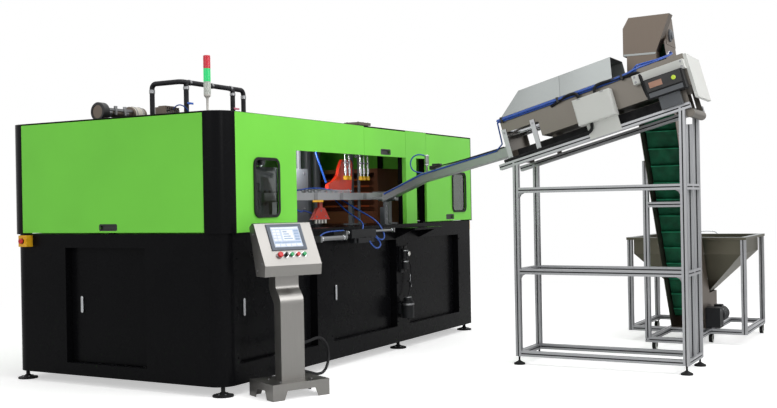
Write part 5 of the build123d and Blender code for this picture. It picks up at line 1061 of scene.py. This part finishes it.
class LINE_OT_sorter(bpy.types.Operator):
    """Finishes the sorter, its stand, drive, hoses and chute"""
    bl_idname = "line.sorter"
    bl_label = "Preform sorter"

    def execute(self, context):
        dress("profile", "stand_frame")
        dress("lid", "sorter_lid_lower", "sorter_lid_upper", "chute")
        dress("trough", "sorter_trough")
        dress("chrome", "sorter_roller_left", "sorter_roller_right")
        dress("pale", "junction_box")
        dress("dark", "drive_motors")
        dress("hose", "air_hoses")
        # Painted shade: black strips in the stand's profile slots
        strips("stand_slots", stand_runs())
        gussets = bmesh.new()
        leg = context.scene.line_sizes.bracket
        corner = ((0, 0), (1, 0), (0.8, 0.12), (0.35, 0.35), (0.12, 0.8), (0, 1))
        outline = [(leg * x, leg * y) for x, y in corner]
        for x, z in ((2.119, 0.7355), (2.576, 0.7355), (2.119, 1.3955)):
            for y, along, depth in ((-1.3955, FRONT, 0.032), (-2.6955, BACK, -0.032)):
                pushed(gussets, outline, (x - 0.016, y, z), along, DOWN, depth)
        add_piece("stand_gussets", gussets, "machined", bevel=0.001)
        conduit("conduit_low_loop", [(0.805, -0.276, 0.286), (0.805, -0.276, 0.335), (0.765, -0.27, 0.352),
            (0.7, -0.256, 0.35), (0.62, -0.244, 0.334), (0.56, -0.232, 0.32)])
        conduit("conduit_high_loop", [(0.94, -0.276, 0.286), (0.94, -0.276, 0.335), (0.985, -0.27, 0.356),
            (1.08, -0.25, 0.352), (1.22, -0.246, 0.345), (1.3, -0.262, 0.338), (1.318, -0.29, 0.3),
            (1.318, -0.3, 0.2), (1.332, -0.3, 0.13)])
        conduit("conduit_under", [(0.85, -0.28, 0.084), (0.85, -0.28, 0.04), (0.815, -0.268, 0.014),
            (0.72, -0.251, 0.0135), (0.48, -0.249, 0.0135), (0.23, -0.249, 0.0135), (0.06, -0.247, 0.0135)])
        for index, (y, n) in enumerate(((-0.2455, 0.356), (-0.242, 0.337), (-0.2575, 0.348))):
            route = [SLOPE @ Vector(point) for point in ((0.085, y, n), (0.6, y, n), (1.2, y, n),
                (1.3, y + 0.01, n + 0.03))]
            x, y, z = 0.016 * index, -0.012 * index, 0.01 * index
            route += [HOOD @ Vector(point) for point in ((2.4, -2.372 + y, 2.405), (2.6, -2.43 + y, 2.47),
                (2.652 + x, -2.455, 2.48 + z), (2.655 + x, -2.4105, 2.485 + z))]
            hose("hose_bundle_%d" % index, route, 0.0062, place=FLOOR)
        fitting = collar(0.0063, 0.0105, 0.016)
        ends = [(2.655 + 0.016 * index, -2.4101, 2.485 + 0.01 * index) for index in range(3)]
        lathe("hose_fittings", "chrome", [(fitting, end, FRONT) for end in ends], sides=12)
        solid("hose_clips", "black_plastic", [((s, -0.265, 0.326), (s + 0.018, -0.2271, 0.369))
            for s in (0.12, 0.62, 1.16)], place=SLOPE)
        solid("drive_panel", "black_plastic", [((1.345, -0.337, 0.15), (1.615, -0.3301, 0.244))],
            bevel=0.002, place=SLOPE)
        solid("drive_plate", "clay", [((1.37, -0.3385, 0.176), (1.47, -0.3371, 0.22))], bevel=0.0004,
            place=SLOPE)
        lathe("drive_button", "lime_key", [(can(0.017, 0.01, 0.003), (1.56, -0.337, 0.198), LEFT)],
            place=SLOPE)
        solid("drive_body", "bay", [((1.35, -0.334, 0.104), (1.61, -0.3301, 0.14)),
            ((1.4, -0.29, 0.0005), (1.56, -0.236, 0.0995))], bevel=0.003, place=SLOPE)
        solid("junction_lid", "pale", [((0.762, -0.3225, 0.085), (1.06, -0.3181, 0.285))], bevel=0.002,
            place=SLOPE)
        solid("box_hinges", "machined", [((s, -0.326, 0.2786), (s + 0.03, -0.3226, 0.2866))
            for s in (0.8, 0.99)], place=SLOPE)
        spots = [(s, -0.2362, n) for s in (0.115, 0.37) for n in (0.03, 0.24)]
        spots += [(1.41, -0.2362, 0.03), (1.52, -0.2362, 0.03), (0.16, -0.2271, 0.345)]
        spots += [(s, -0.2901, n) for s in (1.27, 1.63) for n in (0.265, 0.305)]
        bolts("sorter_bolts", [(spot, LEFT) for spot in spots], place=SLOPE)
        solid("stand_off_faces", "profile", [((s - 0.0195, -0.2362, 0.001), (s + 0.0195, -0.2352, reach))
            for s, reach in ((0.115, 0.269), (0.37, 0.269), (1.41, 0.159), (1.52, 0.159))], bevel=0.0003,
            place=SLOPE)
        solid("channel_trim", "slot", [((0.135, -0.0925, 0.022), (1.52, -0.0901, 0.098))], bevel=0.0,
            place=SLOPE)
        hose("chute_loop", [(2.42, -0.345, 1.742), (2.4, -0.3, 1.765), (2.38, -0.235, 1.735),
            (2.375, -0.215, 1.665), (2.39, -0.25, 1.6), (2.4, -0.33, 1.592)])
        solid("chute_block", "black_plastic", [((2.356, -0.475, 1.618), (2.484, -0.415, 1.652)),
            ((2.4, -0.5, 1.652), (2.44, -0.42, 1.672))], bevel=0.003)
        caps = [(can(0.0215, length), (2.42, -0.36, z), UP) for length, z in ((0.012, 1.7385), (0.01, 1.658))]
        lathe("chute_cylinder_cap", "chrome", caps)
        for index, x in enumerate((2.352, 2.488)):
            hose("chute_lead_%d" % index, [(x, -0.46, 1.64), (x, -0.62, 1.664), (x, -0.9, 1.73),
                (x, -1.12, 1.785)], 0.005, "cable")
        return {"FINISHED"}


class LINE_OT_feeder(bpy.types.Operator):
    """Finishes the elevator, its belt, the hopper and the trolley"""
    bl_idname = "line.feeder"
    bl_label = "Elevator and hopper"

    def execute(self, context):
        dress("plate", "lift_sides")
        dress("belt", "lift_belt")
        dress("machined", "head_drum")
        dress("hopper", "hopper")
        dress("profile", "trolley_frame")
        # Painted shade: black strips in the trolley's profile slots
        strips("trolley_slots", trolley_runs())
        spots = [(LIFT_BOLT_START + LIFT_BOLT_PITCH * index, side * 0.1551, off, side) for side in (-1, 1)
            for index in range(LIFT_BOLTS) for off in (-0.092, 0.192)]
        bolts("lift_bolts", [((x, y, z), (0, side, 0)) for x, y, z, side in spots], place=LIFT)
        bearing = [(0, 0), (0.052, 0), (0.052, 0.01), (0.034, 0.016), (0.03, 0.026), (0, 0.026)]
        bearings = [(bearing, (2.78, side * 0.1581, 0.079), (0, side, 0)) for side in (-1, 1)]
        lathe("head_bearings", "bay", bearings, place=LIFT)
        bearing = [(0, 0), (0.048, 0), (0.048, 0.01), (0.032, 0.016), (0.028, 0.024), (0, 0.024)]
        lathe("tail_bearings", "bay", [(bearing, (0.1, 0.1551, 0.079), BACK)], place=LIFT)
        solid("head_lip", "lid", [((2.5375, -2.352, 2.4798), (2.5402, -2.095, 2.4958))], bevel=0.0008)
        solid("head_latches", "black_plastic", [((2.585, -2.0899, 2.545), (2.612, -2.079, 2.59))],
            bevel=0.002)
        low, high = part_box("hopper")
        middle = (low + high) / 2
        x, near, far, top = high.x - 0.01, middle.y - 0.09, middle.y + 0.09, high.z + 0.028
        handle = [(x, near, high.z), (x, near, top), (x, far, top), (x, far, high.z)]
        smooth_line("hopper_handle", handle, 0.006, FINISH["chrome"], ROOT)
        # Paler strips on the cleats' edges, on the top run and the return run: real edges with a painted
        # highlight.
        edges = []
        for index in range(CLEATS):
            x = CLEAT_START + CLEAT_PITCH * index
            edges += [((x - 0.0032, -0.1345, 0.1793), (x + 0.0032, 0.1345, 0.1837)),
                ((x - 0.0034, -0.1345, -0.0257), (x + 0.0034, 0.1345, -0.0153))]
        solid("cleat_edges", "cleat", edges, bevel=0.0, place=LIFT, smooth=None)
        # Painted light: a paler strip on the inner face of the far elevator plate, below the belt, where the
        # plate shows lit.
        solid("lift_lining", "lining", [((0.32, 0.1522, -0.108), (2.55, 0.1548, -0.034))], bevel=0.0008,
            place=LIFT)
        left, right = low.x + 0.0005, high.x - 0.0005
        near, far = low.y + 0.0005, high.y - 0.0005
        lip, top = 0.0505, high.z + 0.0001
        solid("hopper_flange", "lid", [((left, near, top), (left + lip, far, top + 0.0012)),
            ((right - lip, near, top), (right, far, top + 0.0012)), ((left + lip, near, top),
            (right - lip, near + lip, top + 0.0012)), ((left + lip, far - lip, top),
            (right - lip, far, top + 0.0012))], bevel=0.0004, place=FLOOR)
        fins = [(collar(0.0655, 0.0735, 0.006, 0.001), (4.0 + 0.018 * index, -2.57, 0.25), RIGHT)
            for index in range(9)]
        lathe("motor_fins", "grey", fins, sides=36, place=FLOOR)
        lathe("motor_cap", "black_plastic", [(can(0.07, 0.03, 0.01), (4.2101, -2.57, 0.25), RIGHT)],
            sides=36, place=FLOOR)
        bolts("gearbox_bolts", [((x, -2.6301, z), FRONT) for x in (3.86, 3.97) for z in (0.17, 0.31)],
            place=FLOOR)
        return {"FINISHED"}


class LINE_PT_panel(bpy.types.Panel):
    """Lists the line's pieces in the sidebar"""
    bl_label = "Blow moulding line"
    bl_idname = "LINE_PT_panel"
    bl_space_type = "VIEW_3D"
    bl_region_type = "UI"
    bl_category = "Line"

    def draw(self, context):
        for group in (context.scene.line_colours, context.scene.line_sizes):
            for name in group.__annotations__:
                self.layout.prop(group, name)
        for operator in OPERATORS:
            self.layout.operator(operator.bl_idname)


OPERATORS = (LINE_OT_stage, LINE_OT_cable, LINE_OT_base, LINE_OT_hood, LINE_OT_roof, LINE_OT_station,
    LINE_OT_front_gear, LINE_OT_pedestal, LINE_OT_sorter, LINE_OT_feeder)
CLASSES = (LineColours, LineSizes, *OPERATORS, LINE_PT_panel)


def register():
    for one in CLASSES:
        bpy.utils.register_class(one)
    bpy.types.Scene.line_colours = PointerProperty(type=LineColours)
    bpy.types.Scene.line_sizes = PointerProperty(type=LineSizes)


def unregister():
    del bpy.types.Scene.line_sizes
    del bpy.types.Scene.line_colours
    for one in reversed(CLASSES):
        bpy.utils.unregister_class(one)


def main():
    register()
    make_finishes(bpy.context.scene.line_colours)
    for operator in OPERATORS:
        group, name = operator.bl_idname.split(".")
        getattr(getattr(bpy.ops, group), name)()


if __name__ == "__main__":
    main()
